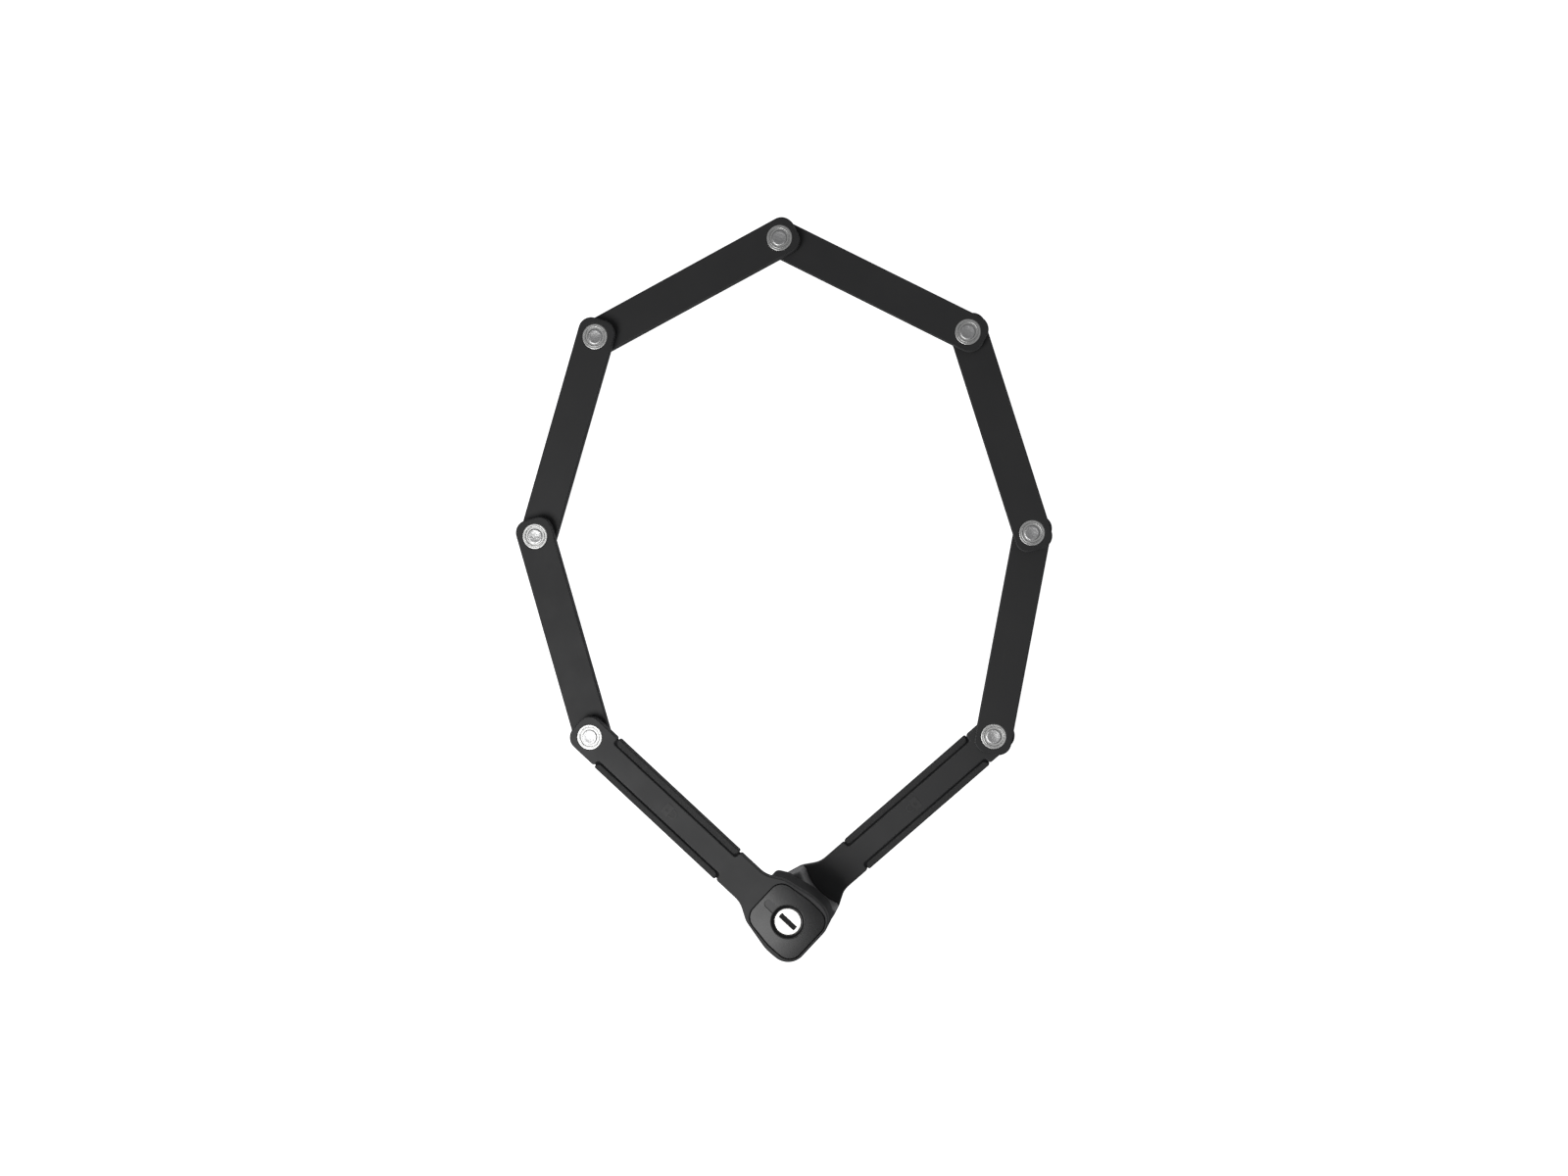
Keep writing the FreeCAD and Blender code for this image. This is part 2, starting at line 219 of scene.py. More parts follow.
def head_side(inset):
    return [(head_shoulder_u, shoulder_half - inset, head_shoulder_round - inset),
            (head_belly[0], head_belly[1] - inset, head_belly[2] - inset),
            (head_end[0] - inset, head_end[1] - inset, head_end[2] - inset)]


def arm_loop():
    """Arm and head seen from above, with a bay for the rubber strip on each side."""
    half = strip_width / 2
    bay_floor = half - bumper_width - bumper_gap
    bay_start = -arm_pitch + bumper_start - bumper_gap
    bay_end = bay_start + bumper_length + 2 * bumper_gap
    upper = [(-arm_pitch - end_reach, half, end_corner), (bay_start, half, notch_mouth_round),
             (bay_start, bay_floor, bumper_inner_round / 2), (bay_end, bay_floor, bumper_inner_round / 2),
             (bay_end, half, notch_mouth_round), (head_neck_u, half, head_neck_round)]
    return rounded_loop(both_sides(upper + head_side(0.0)))


def wall_corner(wall, inset):
    """Where the block's wall meets the flank between neck and shoulder."""
    share = (wall - head_neck_u) / (head_shoulder_u - head_neck_u)
    half = strip_width / 2 + share * (shoulder_half - strip_width / 2) - inset
    return (wall, half, wall_round if inset == 0 else inner_wall_round)


def block_loop(inset):
    return rounded_loop(both_sides([wall_corner(-head_reach + inset, inset)] + head_side(inset)))


def socket_head_loop():
    """The socket's block, hollowed out towards the strip so that two horns are left."""
    centre = -scoop_reach - scoop_radius
    _, horn_half, _ = wall_corner(horn_u, 0.0)
    swing = math.degrees(math.asin((horn_half - horn_round) / scoop_radius))
    hollow = arc_points(scoop_radius, centre, 0, -swing, swing, 24)
    flanks = rounded_loop(both_sides([(horn_u, horn_half, horn_round)] + head_side(0.0)))
    kept = [point for point in flanks if (point - Vector((centre, 0))).length > scoop_radius + 0.1]
    start = max(range(len(kept)), key=lambda k: (kept[k] - kept[k - 1]).length)
    return kept[start:] + kept[:start] + hollow


def bumper_loop(side):
    start = -arm_pitch + bumper_start
    end = start + bumper_length
    inner = side * (strip_width / 2 - bumper_width)
    outer = side * (strip_width / 2 + bumper_proud)
    return rounded_loop([(start, inner, bumper_inner_round), (end, inner, bumper_inner_round),
                         (end, outer, bumper_outer_round), (start, outer, bumper_outer_round)])


def cap_loop(grow):
    near, middle, far = cap_corners
    return rounded_loop(both_sides([(near[0] - grow, near[1] + grow, near[2] + grow),
                                    (middle[0], middle[1] + grow, middle[2]),
                                    (far[0] + grow, far[1] + grow, far[2] + grow)]))


def bore_and_notch_loop():
    """The cylinder's bore with the thumb notch running into it."""
    half = thumb_notch_width / 2
    gap = math.degrees(math.asin(half / cylinder_bore))
    bore = arc_points(cylinder_bore, 0, 0, -180 + gap, 180 - gap, 56)
    return bore + arc_points(half, thumb_notch_start + half, 0, 90, 270, 14)


def keyway_loop():
    return rounded_loop(both_sides([(-keyway_length / 2, keyway_width / 2, 0.18),
                                    (keyway_length / 2, keyway_width / 2, 0.18)]))


def screw_places():
    return [(screw_circle * math.cos(math.radians(a)), screw_circle * math.sin(math.radians(a)))
            for a in screw_angles]


# ------------------------------------------------------------------ node helpers
def plug(tree, socket, value):
    """Links a socket, or gives it a value."""
    if isinstance(value, bpy.types.NodeSocket):
        tree.links.new(value, socket)
    else:
        socket.default_value = value


def add(tree, kind, settings=None, inputs=None):
    made = tree.nodes.new(kind)
    for name, value in (settings or {}).items():
        setattr(made, name, value)
    for name, value in (inputs or {}).items():
        plug(tree, made.inputs[name], value)
    return made


def calc(tree, operation, *values):
    return add(tree, "ShaderNodeMath", {"operation": operation}, dict(enumerate(values))).outputs[0]


def triple(tree, x, y, z):
    return add(tree, "ShaderNodeCombineXYZ", None, {0: x, 1: y, 2: z}).outputs[0]


def scaled(tree, vector, factor):
    made = add(tree, "ShaderNodeVectorMath", {"operation": "SCALE"}, {"Vector": vector, "Scale": factor})
    return made.outputs[0]


def new_group(name, kind, inputs, outputs):
    """An empty node group with its sockets, and its input and output nodes."""
    tree = bpy.data.node_groups.new(name, kind)
    for label, socket_type, value in inputs:
        socket = tree.interface.new_socket(label, in_out="INPUT", socket_type=socket_type)
        if value is not None:
            socket.default_value = value
    for label, socket_type in outputs:
        tree.interface.new_socket(label, in_out="OUTPUT", socket_type=socket_type)
    return tree, tree.nodes.new("NodeGroupInput").outputs, tree.nodes.new("NodeGroupOutput").inputs


GEOMETRY, FLOAT, WHOLE = "NodeSocketGeometry", "NodeSocketFloat", "NodeSocketInt"
VECTOR, COLOUR, MATERIAL = "NodeSocketVector", "NodeSocketColor", "NodeSocketMaterial"


def joined(tree, *parts):
    made = tree.nodes.new("GeometryNodeJoinGeometry")
    for part in parts:
        tree.links.new(part, made.inputs[0])
    return made.outputs[0]


def stored(tree, mesh, name, data_type, value):
    made = add(tree, "GeometryNodeStoreNamedAttribute", {"data_type": data_type, "domain": "POINT"},
               {"Geometry": mesh, "Name": name, "Value": value})
    return made.outputs[0]


def filled(tree, outlines, height):
    """A flat face inside outlines, lifted to a height."""
    flat = add(tree, "GeometryNodeFillCurve", {"mode": "NGONS"}, {0: outlines}).outputs[0]
    return add(tree, "GeometryNodeTransform", None,
               {"Geometry": flat, "Translation": triple(tree, 0.0, 0.0, height)}).outputs[0]


def shaded(tree, mesh, sharp_above):
    """Smooth faces, with the edges sharper than an angle kept hard."""
    smooth = add(tree, "GeometryNodeSetShadeSmooth", {"domain": "FACE"}, {"Geometry": mesh}).outputs[0]
    turn = tree.nodes.new("GeometryNodeInputMeshEdgeAngle").outputs["Unsigned Angle"]
    hard = calc(tree, "GREATER_THAN", turn, sharp_above)
    return add(tree, "GeometryNodeSetShadeSmooth", {"domain": "EDGE"},
               {"Geometry": smooth, "Selection": hard, "Shade Smooth": False}).outputs[0]


# ------------------------------------------------------------------ shape trees
def edge_band_tree():
    """Rim, rounded edge, side wall, rounded edge and rim, swept round flat outlines."""
    tree, given, result = new_group(
        "rounded side", "GeometryNodeTree",
        [("Outline", GEOMETRY, None), ("Low", FLOAT, 0.0), ("High", FLOAT, 0.004), ("Top Round", FLOAT, 0.0006),
         ("Bottom Round", FLOAT, 0.0006), ("Rim", FLOAT, 0.0003), ("Steps", WHOLE, 6), ("Worn", FLOAT, 1.0)],
        [("Mesh", GEOMETRY)])
    top, bottom, rim = given["Top Round"], given["Bottom Round"], given["Rim"]
    side_top = calc(tree, "SUBTRACT", top, given["High"])
    side_bottom = calc(tree, "MULTIPLY", calc(tree, "ADD", given["Low"], bottom), -1.0)
    roof = calc(tree, "MULTIPLY", given["High"], -1.0)
    floor = calc(tree, "MULTIPLY", given["Low"], -1.0)
    minus_top = calc(tree, "MULTIPLY", top, -1.0)
    minus_bottom = calc(tree, "MULTIPLY", bottom, -1.0)

    def rounding(radius, start, x, y):
        arc = add(tree, "GeometryNodeCurveArc", None,
                  {"Resolution": given["Steps"], "Radius": radius, "Start Angle": start,
                   "Sweep Angle": math.pi / 2}).outputs[0]
        return add(tree, "GeometryNodeTransform", None,
                   {"Geometry": arc, "Translation": triple(tree, x, y, 0.0)}).outputs[0]

    def line(start, end):
        return add(tree, "GeometryNodeCurvePrimitiveLine", None, {"Start": start, "End": end}).outputs[0]

    def swept(profile, edge):
        band = add(tree, "GeometryNodeCurveToMesh", None,
                   {"Curve": given["Outline"], "Profile Curve": profile}).outputs[0]
        return stored(tree, band, "edge", "FLOAT", edge)

    arcs = joined(tree, rounding(top, -math.pi / 2, minus_top, side_top),
                  rounding(bottom, 0.0, minus_bottom, side_bottom))
    top_rim = line(triple(tree, calc(tree, "SUBTRACT", minus_top, rim), roof, 0.0),
                   triple(tree, minus_top, roof, 0.0))
    wall = line(triple(tree, 0.0, side_top, 0.0), triple(tree, 0.0, side_bottom, 0.0))
    bottom_rim = line(triple(tree, minus_bottom, floor, 0.0),
                      triple(tree, calc(tree, "SUBTRACT", minus_bottom, rim), floor, 0.0))
    flats = joined(tree, top_rim, wall, bottom_rim)
    tree.links.new(joined(tree, swept(arcs, given["Worn"]), swept(flats, 0.0)), result["Mesh"])
    return tree


def plate_tree(edge_band):
    """A moulded plate from outlines: rounded edges on the outside, crisp ones at marked holes."""
    tree, given, result = new_group(
        "moulded plate", "GeometryNodeTree",
        [("Outlines", GEOMETRY, None), ("Low", FLOAT, 0.0), ("High", FLOAT, 0.004), ("Top Round", FLOAT, 0.0006),
         ("Bottom Round", FLOAT, 0.0006), ("Crisp Round", FLOAT, 0.0001), ("Crisp Wear", FLOAT, 0.15),
         ("Rim", FLOAT, 0.0003), ("Steps", WHOLE, 7), ("Turn", FLOAT, 0.0), ("Centre", VECTOR, (0, 0, 0)), ("Finish", MATERIAL, None)],
        [("Piece", GEOMETRY)])
    outlines = add(tree, "GeometryNodeSetCurveNormal", {"mode": "Z_UP"}, {"Curve": given["Outlines"]}).outputs[0]
    width = tree.nodes.new("GeometryNodeInputRadius").outputs[0]
    marked = calc(tree, "GREATER_THAN", width, 1.5)
    parted = add(tree, "GeometryNodeSeparateGeometry", {"domain": "CURVE"},
                 {"Geometry": outlines, "Selection": marked})
    bands, lids, floors = [], [], []
    crisp = given["Crisp Round"]
    for outline, top, bottom, worn in (
            (parted.outputs["Inverted"], given["Top Round"], given["Bottom Round"], 1.0),
            (parted.outputs["Selection"], crisp, crisp, given["Crisp Wear"])):
        outline = add(tree, "GeometryNodeSetCurveRadius", None, {"Curve": outline, "Radius": 1.0}).outputs[0]
        band = add(tree, "GeometryNodeGroup", {"node_tree": edge_band},
                   {"Outline": outline, "Low": given["Low"], "High": given["High"], "Top Round": top,
                    "Bottom Round": bottom, "Rim": given["Rim"], "Steps": given["Steps"], "Worn": worn})
        bands.append(band.outputs[0])
        outward = tree.nodes.new("GeometryNodeInputNormal").outputs[0]
        for round_, kept in ((top, lids), (bottom, floors)):
            inset = calc(tree, "MULTIPLY", calc(tree, "ADD", round_, given["Rim"]), -1.0)
            kept.append(add(tree, "GeometryNodeSetPosition", None,
                            {"Geometry": outline, "Offset": scaled(tree, outward, inset)}).outputs[0])
    lid = filled(tree, joined(tree, *lids), given["High"])
    floor = add(tree, "GeometryNodeFlipFaces", None, {0: filled(tree, joined(tree, *floors), given["Low"])})
    floor = floor.outputs[0]
    mesh = joined(tree, *bands, lid, floor)
    mesh = add(tree, "GeometryNodeMergeByDistance", None, {"Geometry": mesh, "Distance": 2e-6}).outputs[0]
    place = tree.nodes.new("GeometryNodeInputPosition").outputs[0]
    mesh = stored(tree, mesh, "place", "FLOAT_VECTOR", place)
    height = add(tree, "ShaderNodeSeparateXYZ", None, {0: place}).outputs[2]
    share = calc(tree, "DIVIDE", calc(tree, "SUBTRACT", height, given["Low"]),
                 calc(tree, "SUBTRACT", given["High"], given["Low"]))
    mesh = stored(tree, mesh, "level", "FLOAT", share)
    turn = add(tree, "FunctionNodeEulerToRotation", None, {0: triple(tree, 0.0, 0.0, given["Turn"])}).outputs[0]
    mesh = add(tree, "GeometryNodeTransform", None,
               {"Geometry": mesh, "Translation": given["Centre"], "Rotation": turn}).outputs[0]
    mesh = shaded(tree, mesh, math.radians(38))
    mesh = add(tree, "GeometryNodeRealizeInstances", None, {0: mesh}).outputs[0]
    mesh = add(tree, "GeometryNodeSetMaterial", None, {"Geometry": mesh, "Material": given["Finish"]}).outputs[0]
    tree.links.new(mesh, result["Piece"])
    return tree


def turned_tree():
    """Profiles of radius and depth, spun round a vertical axis."""
    tree, given, result = new_group(
        "turned part", "GeometryNodeTree",
        [("Profiles", GEOMETRY, None), ("Steps", WHOLE, 72), ("Carrier", FLOAT, 0.001),
         ("Centre", VECTOR, (0, 0, 0)), ("Finish", MATERIAL, None)], [("Piece", GEOMETRY)])
    ring = add(tree, "GeometryNodeCurvePrimitiveCircle", None,
               {"Resolution": given["Steps"], "Radius": given["Carrier"]}).outputs[0]
    ring = add(tree, "GeometryNodeSetCurveNormal", {"mode": "Z_UP"}, {"Curve": ring}).outputs[0]
    back = triple(tree, calc(tree, "MULTIPLY", given["Carrier"], -1.0), 0.0, 0.0)
    profile = add(tree, "GeometryNodeTransform", None,
                  {"Geometry": given["Profiles"], "Translation": back}).outputs[0]
    mesh = add(tree, "GeometryNodeCurveToMesh", None, {"Curve": ring, "Profile Curve": profile}).outputs[0]
    mesh = add(tree, "GeometryNodeMergeByDistance", None, {"Geometry": mesh, "Distance": 1e-6}).outputs[0]
    place = tree.nodes.new("GeometryNodeInputPosition").outputs[0]
    mesh = stored(tree, mesh, "place", "FLOAT_VECTOR", place)
    mesh = add(tree, "GeometryNodeTransform", None,
               {"Geometry": mesh, "Translation": given["Centre"]}).outputs[0]
    mesh = shaded(tree, mesh, math.radians(34))
    mesh = add(tree, "GeometryNodeRealizeInstances", None, {0: mesh}).outputs[0]
    mesh = add(tree, "GeometryNodeSetMaterial", None, {"Geometry": mesh, "Material": given["Finish"]}).outputs[0]
    tree.links.new(mesh, result["Piece"])
    return tree


def screw_tree(edge_band):
    """A hexagon-socket screw head at every given point, each one stopped at its own angle."""
    tree, given, result = new_group(
        "screw heads", "GeometryNodeTree",
        [("Points", GEOMETRY, None), ("Head Radius", FLOAT, 0.0017), ("Hexagon Radius", FLOAT, 0.0009),
         ("Height", FLOAT, 0.0009), ("Depth", FLOAT, 0.0006), ("Seed", WHOLE, 4), ("Finish", MATERIAL, None)],
        [("Piece", GEOMETRY)])
    head_round = 0.00025
    band_inputs = {"High": given["Height"], "Bottom Round": 0.0, "Rim": 0.0, "Steps": 5}
    disc = add(tree, "GeometryNodeCurvePrimitiveCircle", None,
               {"Resolution": 28, "Radius": given["Head Radius"]}).outputs[0]
    hexagon = add(tree, "GeometryNodeCurvePrimitiveCircle", None,
                  {"Resolution": 6, "Radius": given["Hexagon Radius"]}).outputs[0]
    hexagon = add(tree, "GeometryNodeReverseCurve", None, {"Curve": hexagon}).outputs[0]
    bands, lids = [], []
    well_floor = calc(tree, "SUBTRACT", given["Height"], given["Depth"])
    for outline, low, round_ in ((disc, 0.0, head_round), (hexagon, well_floor, 0.00006)):
        outline = add(tree, "GeometryNodeSetCurveNormal", {"mode": "Z_UP"}, {"Curve": outline}).outputs[0]
        bands.append(add(tree, "GeometryNodeGroup", {"node_tree": edge_band},
                         dict(band_inputs, **{"Outline": outline, "Low": low, "Top Round": round_})).outputs[0])
        outward = tree.nodes.new("GeometryNodeInputNormal").outputs[0]
        lids.append(add(tree, "GeometryNodeSetPosition", None,
                        {"Geometry": outline, "Offset": scaled(tree, outward, -round_)}).outputs[0])
    lid = filled(tree, joined(tree, *lids), given["Height"])
    well = filled(tree, hexagon, well_floor)
    under = add(tree, "GeometryNodeFlipFaces", None, {0: filled(tree, disc, 0.0)}).outputs[0]
    mesh = add(tree, "GeometryNodeMergeByDistance", None,
               {"Geometry": joined(tree, *bands, lid, well, under), "Distance": 1e-6}).outputs[0]
    mesh = stored(tree, mesh, "place", "FLOAT_VECTOR", tree.nodes.new("GeometryNodeInputPosition").outputs[0])
    mesh = shaded(tree, mesh, math.radians(34))
    spin = add(tree, "FunctionNodeRandomValue", {"data_type": "FLOAT"},
               {"Min": 0.0, "Max": 1.0, "Seed": given["Seed"]}).outputs["Value"]
    spin = add(tree, "FunctionNodeEulerToRotation", None, {0: triple(tree, 0.0, 0.0, spin)}).outputs[0]
    heads = add(tree, "GeometryNodeInstanceOnPoints", None,
                {"Points": given["Points"], "Instance": mesh, "Rotation": spin}).outputs[0]
    heads = add(tree, "GeometryNodeRealizeInstances", None, {0: heads}).outputs[0]
    heads = add(tree, "GeometryNodeSetMaterial", None, {"Geometry": heads, "Material": given["Finish"]}).outputs[0]
    tree.links.new(heads, result["Piece"])
    return tree


edge_band = edge_band_tree()
plate = plate_tree(edge_band)
turned_part = turned_tree()
screw_heads = screw_tree(edge_band)


# ------------------------------------------------------------------ making a piece
def outline_curve(loops, closed=True):
    """Outlines in millimetres as one curve; a crisp one is marked by its width."""
    curve = bpy.data.curves.new("outline", "CURVE")
    curve.dimensions = "3D"
    for points, crisp in loops:
        spline = curve.splines.new("POLY")
        spline.points.add(len(points) - 1)
        for spot, point in zip(spline.points, points):
            spot.co = (point[0] * MM, point[1] * MM, 0.0, 1.0)
            spot.radius = 2.0 if crisp else 1.0
        spline.use_cyclic_u = closed
    return curve


def evaluated(data, tree, values):
    """Runs a shape tree on curve or mesh data and gives back a plain mesh."""
    holder = bpy.data.objects.new("holder", data)
    bpy.context.scene.collection.objects.link(holder)
    modifier = holder.modifiers.new("shape", "NODES")
    modifier.node_group = tree
    for item in tree.interface.items_tree:
        if item.in_out == "INPUT" and item.name in values:
            modifier[item.identifier] = values[item.name]
    bpy.context.view_layer.update()
    depsgraph = bpy.context.evaluated_depsgraph_get()
    mesh = bpy.data.meshes.new_from_object(holder.evaluated_get(depsgraph), preserve_all_data_layers=True,
                                           depsgraph=depsgraph)
    holder.modifiers.clear()
    bpy.data.objects.remove(holder)
    return mesh


def piece(name, mesh, body, slot, *stands_for):
    mesh.name = name
    made = bpy.data.objects.new(name, mesh)
    bpy.context.scene.collection.objects.link(made)
    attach(made, body)
    if stands_for:
        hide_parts(*stands_for)
    return made


def plate_mesh(loops, low, high, finish, top=jacket_round, bottom=jacket_round, crisp=0.1, rim=0.3,
               turn=0.0, centre=lock_axis):
    """Heights are in metres, the rest in millimetres."""
    return evaluated(outline_curve(loops), plate,
                     {"Low": low, "High": high, "Top Round": top * MM, "Bottom Round": bottom * MM,
                      "Crisp Round": crisp * MM, "Rim": rim * MM, "Turn": turn, "Centre": centre,
                      "Finish": finish})


def turned_mesh(profiles, centre, finish, closed=True):
    """Profiles are lists of (radius in mm, height in metres), drawn clockwise from the top."""
    flat = [([(r, -z / MM) for r, z in profile], False) for profile in profiles]
    return evaluated(outline_curve(flat, closed), turned_part, {"Centre": centre, "Finish": finish})


def heights(node):
    low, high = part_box(node)
    return low[2], high[2]


# ------------------------------------------------------------------ shared surface effects
def shader_group(name, inputs, outputs):
    return new_group(name, "ShaderNodeTree", inputs, outputs)


def noise(tree, vector, scale, detail=3.0, roughness=0.55):
    made = add(tree, "ShaderNodeTexNoise", None,
               {"Vector": vector, "Scale": scale, "Detail": detail, "Roughness": roughness})
    return made.outputs["Fac"]


def ramp(tree, value, low, high, to_low=0.0, to_high=1.0):
    made = add(tree, "ShaderNodeMapRange", {"interpolation_type": "SMOOTHSTEP", "clamp": True},
               {"Value": value, "From Min": low, "From Max": high, "To Min": to_low, "To Max": to_high})
    return made.outputs["Result"]


def moulded_grain_group():
    """Fine spark-eroded grain of a moulding tool, with slow mottling."""
    tree, given, result = shader_group(
        "moulded grain", [("Vector", VECTOR, None), ("Grain", FLOAT, 3200.0), ("Mottle", FLOAT, 60.0)],
        [("Height", FLOAT), ("Mottling", FLOAT)])
    fine = noise(tree, given["Vector"], given["Grain"], 2.0)
    coarse = noise(tree, given["Vector"], calc(tree, "MULTIPLY", given["Grain"], 0.31), 3.0)
    tree.links.new(calc(tree, "ADD", calc(tree, "MULTIPLY", fine, 0.6), calc(tree, "MULTIPLY", coarse, 0.4)),
                   result["Height"])
    tree.links.new(ramp(tree, noise(tree, given["Vector"], given["Mottle"], 4.0), 0.3, 0.7), result["Mottling"])
    return tree


def edge_wear_group():
    """Where handling has rubbed the edges: the edge mask broken up by two noises."""
    tree, given, result = shader_group(
        "edge wear", [("Vector", VECTOR, None), ("Edge", FLOAT, 0.0), ("Amount", FLOAT, 0.5),
                      ("Patches", FLOAT, 90.0)], [("Mask", FLOAT)])
    patches = ramp(tree, noise(tree, given["Vector"], given["Patches"], 3.0), 0.35, 0.75, 0.25, 1.0)
    nicks = ramp(tree, noise(tree, given["Vector"], 1400.0, 2.0), 0.35, 0.65, 0.45, 1.0)
    rubbed = calc(tree, "MULTIPLY", calc(tree, "MULTIPLY", given["Edge"], patches), nicks)
    tree.links.new(calc(tree, "MULTIPLY", rubbed, given["Amount"]), result["Mask"])
    return tree


def scuffs_group():
    """Hairline scratches that mostly run along the piece, with a few across."""
    tree, given, result = shader_group(
        "scuffs", [("Vector", VECTOR, None), ("Length", FLOAT, 25.0), ("Fineness", FLOAT, 1500.0),
                   ("Amount", FLOAT, 0.5)], [("Mask", FLOAT)])
    parts = add(tree, "ShaderNodeSeparateXYZ", None, {0: given["Vector"]}).outputs
    bend = calc(tree, "MULTIPLY", noise(tree, given["Vector"], 40.0, 1.0), 0.004)
    along = triple(tree, calc(tree, "MULTIPLY", parts[0], given["Length"]),
                   calc(tree, "MULTIPLY", calc(tree, "ADD", parts[1], bend), given["Fineness"]),
                   calc(tree, "MULTIPLY", parts[2], given["Length"]))
    leaning = calc(tree, "ADD", parts[0], calc(tree, "MULTIPLY", parts[1], 0.8))
    across = triple(tree, calc(tree, "MULTIPLY", leaning, given["Fineness"]),
                    calc(tree, "MULTIPLY", parts[1], given["Length"]), parts[2])
    long_lines = ramp(tree, noise(tree, along, 1.0, 1.0), 0.66, 0.74)
    short_lines = ramp(tree, noise(tree, across, 1.0, 1.0), 0.72, 0.79)
    where = ramp(tree, noise(tree, given["Vector"], 55.0, 2.0), 0.45, 0.7)
    lines = calc(tree, "MULTIPLY", calc(tree, "MAXIMUM", long_lines, short_lines), where)
    tree.links.new(calc(tree, "MULTIPLY", lines, given["Amount"]), result["Mask"])
    return tree


def lathe_rings_group():
    """Concentric tool marks round the piece's own axis, with a slow sheen round it."""
    tree, given, result = shader_group(
        "lathe rings", [("Vector", VECTOR, None), ("Rings", FLOAT, 9000.0)],
        [("Height", FLOAT), ("Sheen", FLOAT)])
    parts = add(tree, "ShaderNodeSeparateXYZ", None, {0: given["Vector"]}).outputs
    radius = calc(tree, "SQRT", calc(tree, "ADD", calc(tree, "MULTIPLY", parts[0], parts[0]),
                                     calc(tree, "MULTIPLY", parts[1], parts[1])))
    angle = calc(tree, "ARCTAN2", parts[1], parts[0])
    rings = noise(tree, triple(tree, calc(tree, "MULTIPLY", radius, given["Rings"]), 0.0, 0.0), 1.0, 3.0)
    fan = noise(tree, triple(tree, calc(tree, "MULTIPLY", radius, 300.0), calc(tree, "SINE", angle),
                             calc(tree, "COSINE", angle)), 2.4, 2.0)
    tree.links.new(rings, result["Height"])
    tree.links.new(ramp(tree, fan, 0.3, 0.7), result["Sheen"])
    return tree


def hammered_group():
    """Shallow facets left by the riveting tool."""
    tree, given, result = shader_group(
        "hammered", [("Vector", VECTOR, None), ("Facets", FLOAT, 1100.0)], [("Height", FLOAT), ("Pits", FLOAT)])
    cells = add(tree, "ShaderNodeTexVoronoi", {"feature": "SMOOTH_F1"},
                {"Vector": given["Vector"], "Scale": given["Facets"]}).outputs["Distance"]
    pits = ramp(tree, noise(tree, given["Vector"], 2600.0, 2.0), 0.62, 0.72)
    tree.links.new(cells, result["Height"])
    tree.links.new(pits, result["Pits"])
    return tree


def stipple_group():
    """Close raised dots of a rubber strip, some of them rubbed paler."""
    tree, given, result = shader_group(
        "stipple", [("Vector", VECTOR, None), ("Dots", FLOAT, 1900.0)], [("Height", FLOAT), ("Rubbed", FLOAT)])
    dots = add(tree, "ShaderNodeTexVoronoi", {"feature": "F1"},
               {"Vector": given["Vector"], "Scale": given["Dots"], "Randomness": 0.75})
    bump = ramp(tree, dots.outputs["Distance"], 0.1, 0.62, 1.0, 0.0)
    pick = add(tree, "ShaderNodeSeparateXYZ", None, {0: dots.outputs["Color"]}).outputs[0]
    pale = calc(tree, "MULTIPLY", ramp(tree, pick, 0.62, 0.9), bump)
    tree.links.new(bump, result["Height"])
    tree.links.new(pale, result["Rubbed"])
    return tree


def dust_group():
    """Fine dust and fibres that settle on flat tops."""
    tree, given, result = shader_group(
        "dust", [("Vector", VECTOR, None), ("Specks", FLOAT, 900.0), ("Amount", FLOAT, 0.2)], [("Mask", FLOAT)])
    specks = add(tree, "ShaderNodeTexVoronoi", {"feature": "F1"},
                 {"Vector": given["Vector"], "Scale": given["Specks"]}).outputs["Distance"]
    grains = ramp(tree, specks, 0.05, 0.16, 1.0, 0.0)
    drifts = ramp(tree, noise(tree, given["Vector"], 35.0, 4.0), 0.42, 0.75)
    both = calc(tree, "ADD", calc(tree, "MULTIPLY", grains, drifts), calc(tree, "MULTIPLY", drifts, 0.35))
    tree.links.new(calc(tree, "MULTIPLY", both, given["Amount"]), result["Mask"])
    return tree


grain_effect = moulded_grain_group()
wear_effect = edge_wear_group()
scuff_effect = scuffs_group()
lathe_effect = lathe_rings_group()
hammer_effect = hammered_group()
stipple_effect = stipple_group()
dust_effect = dust_group()


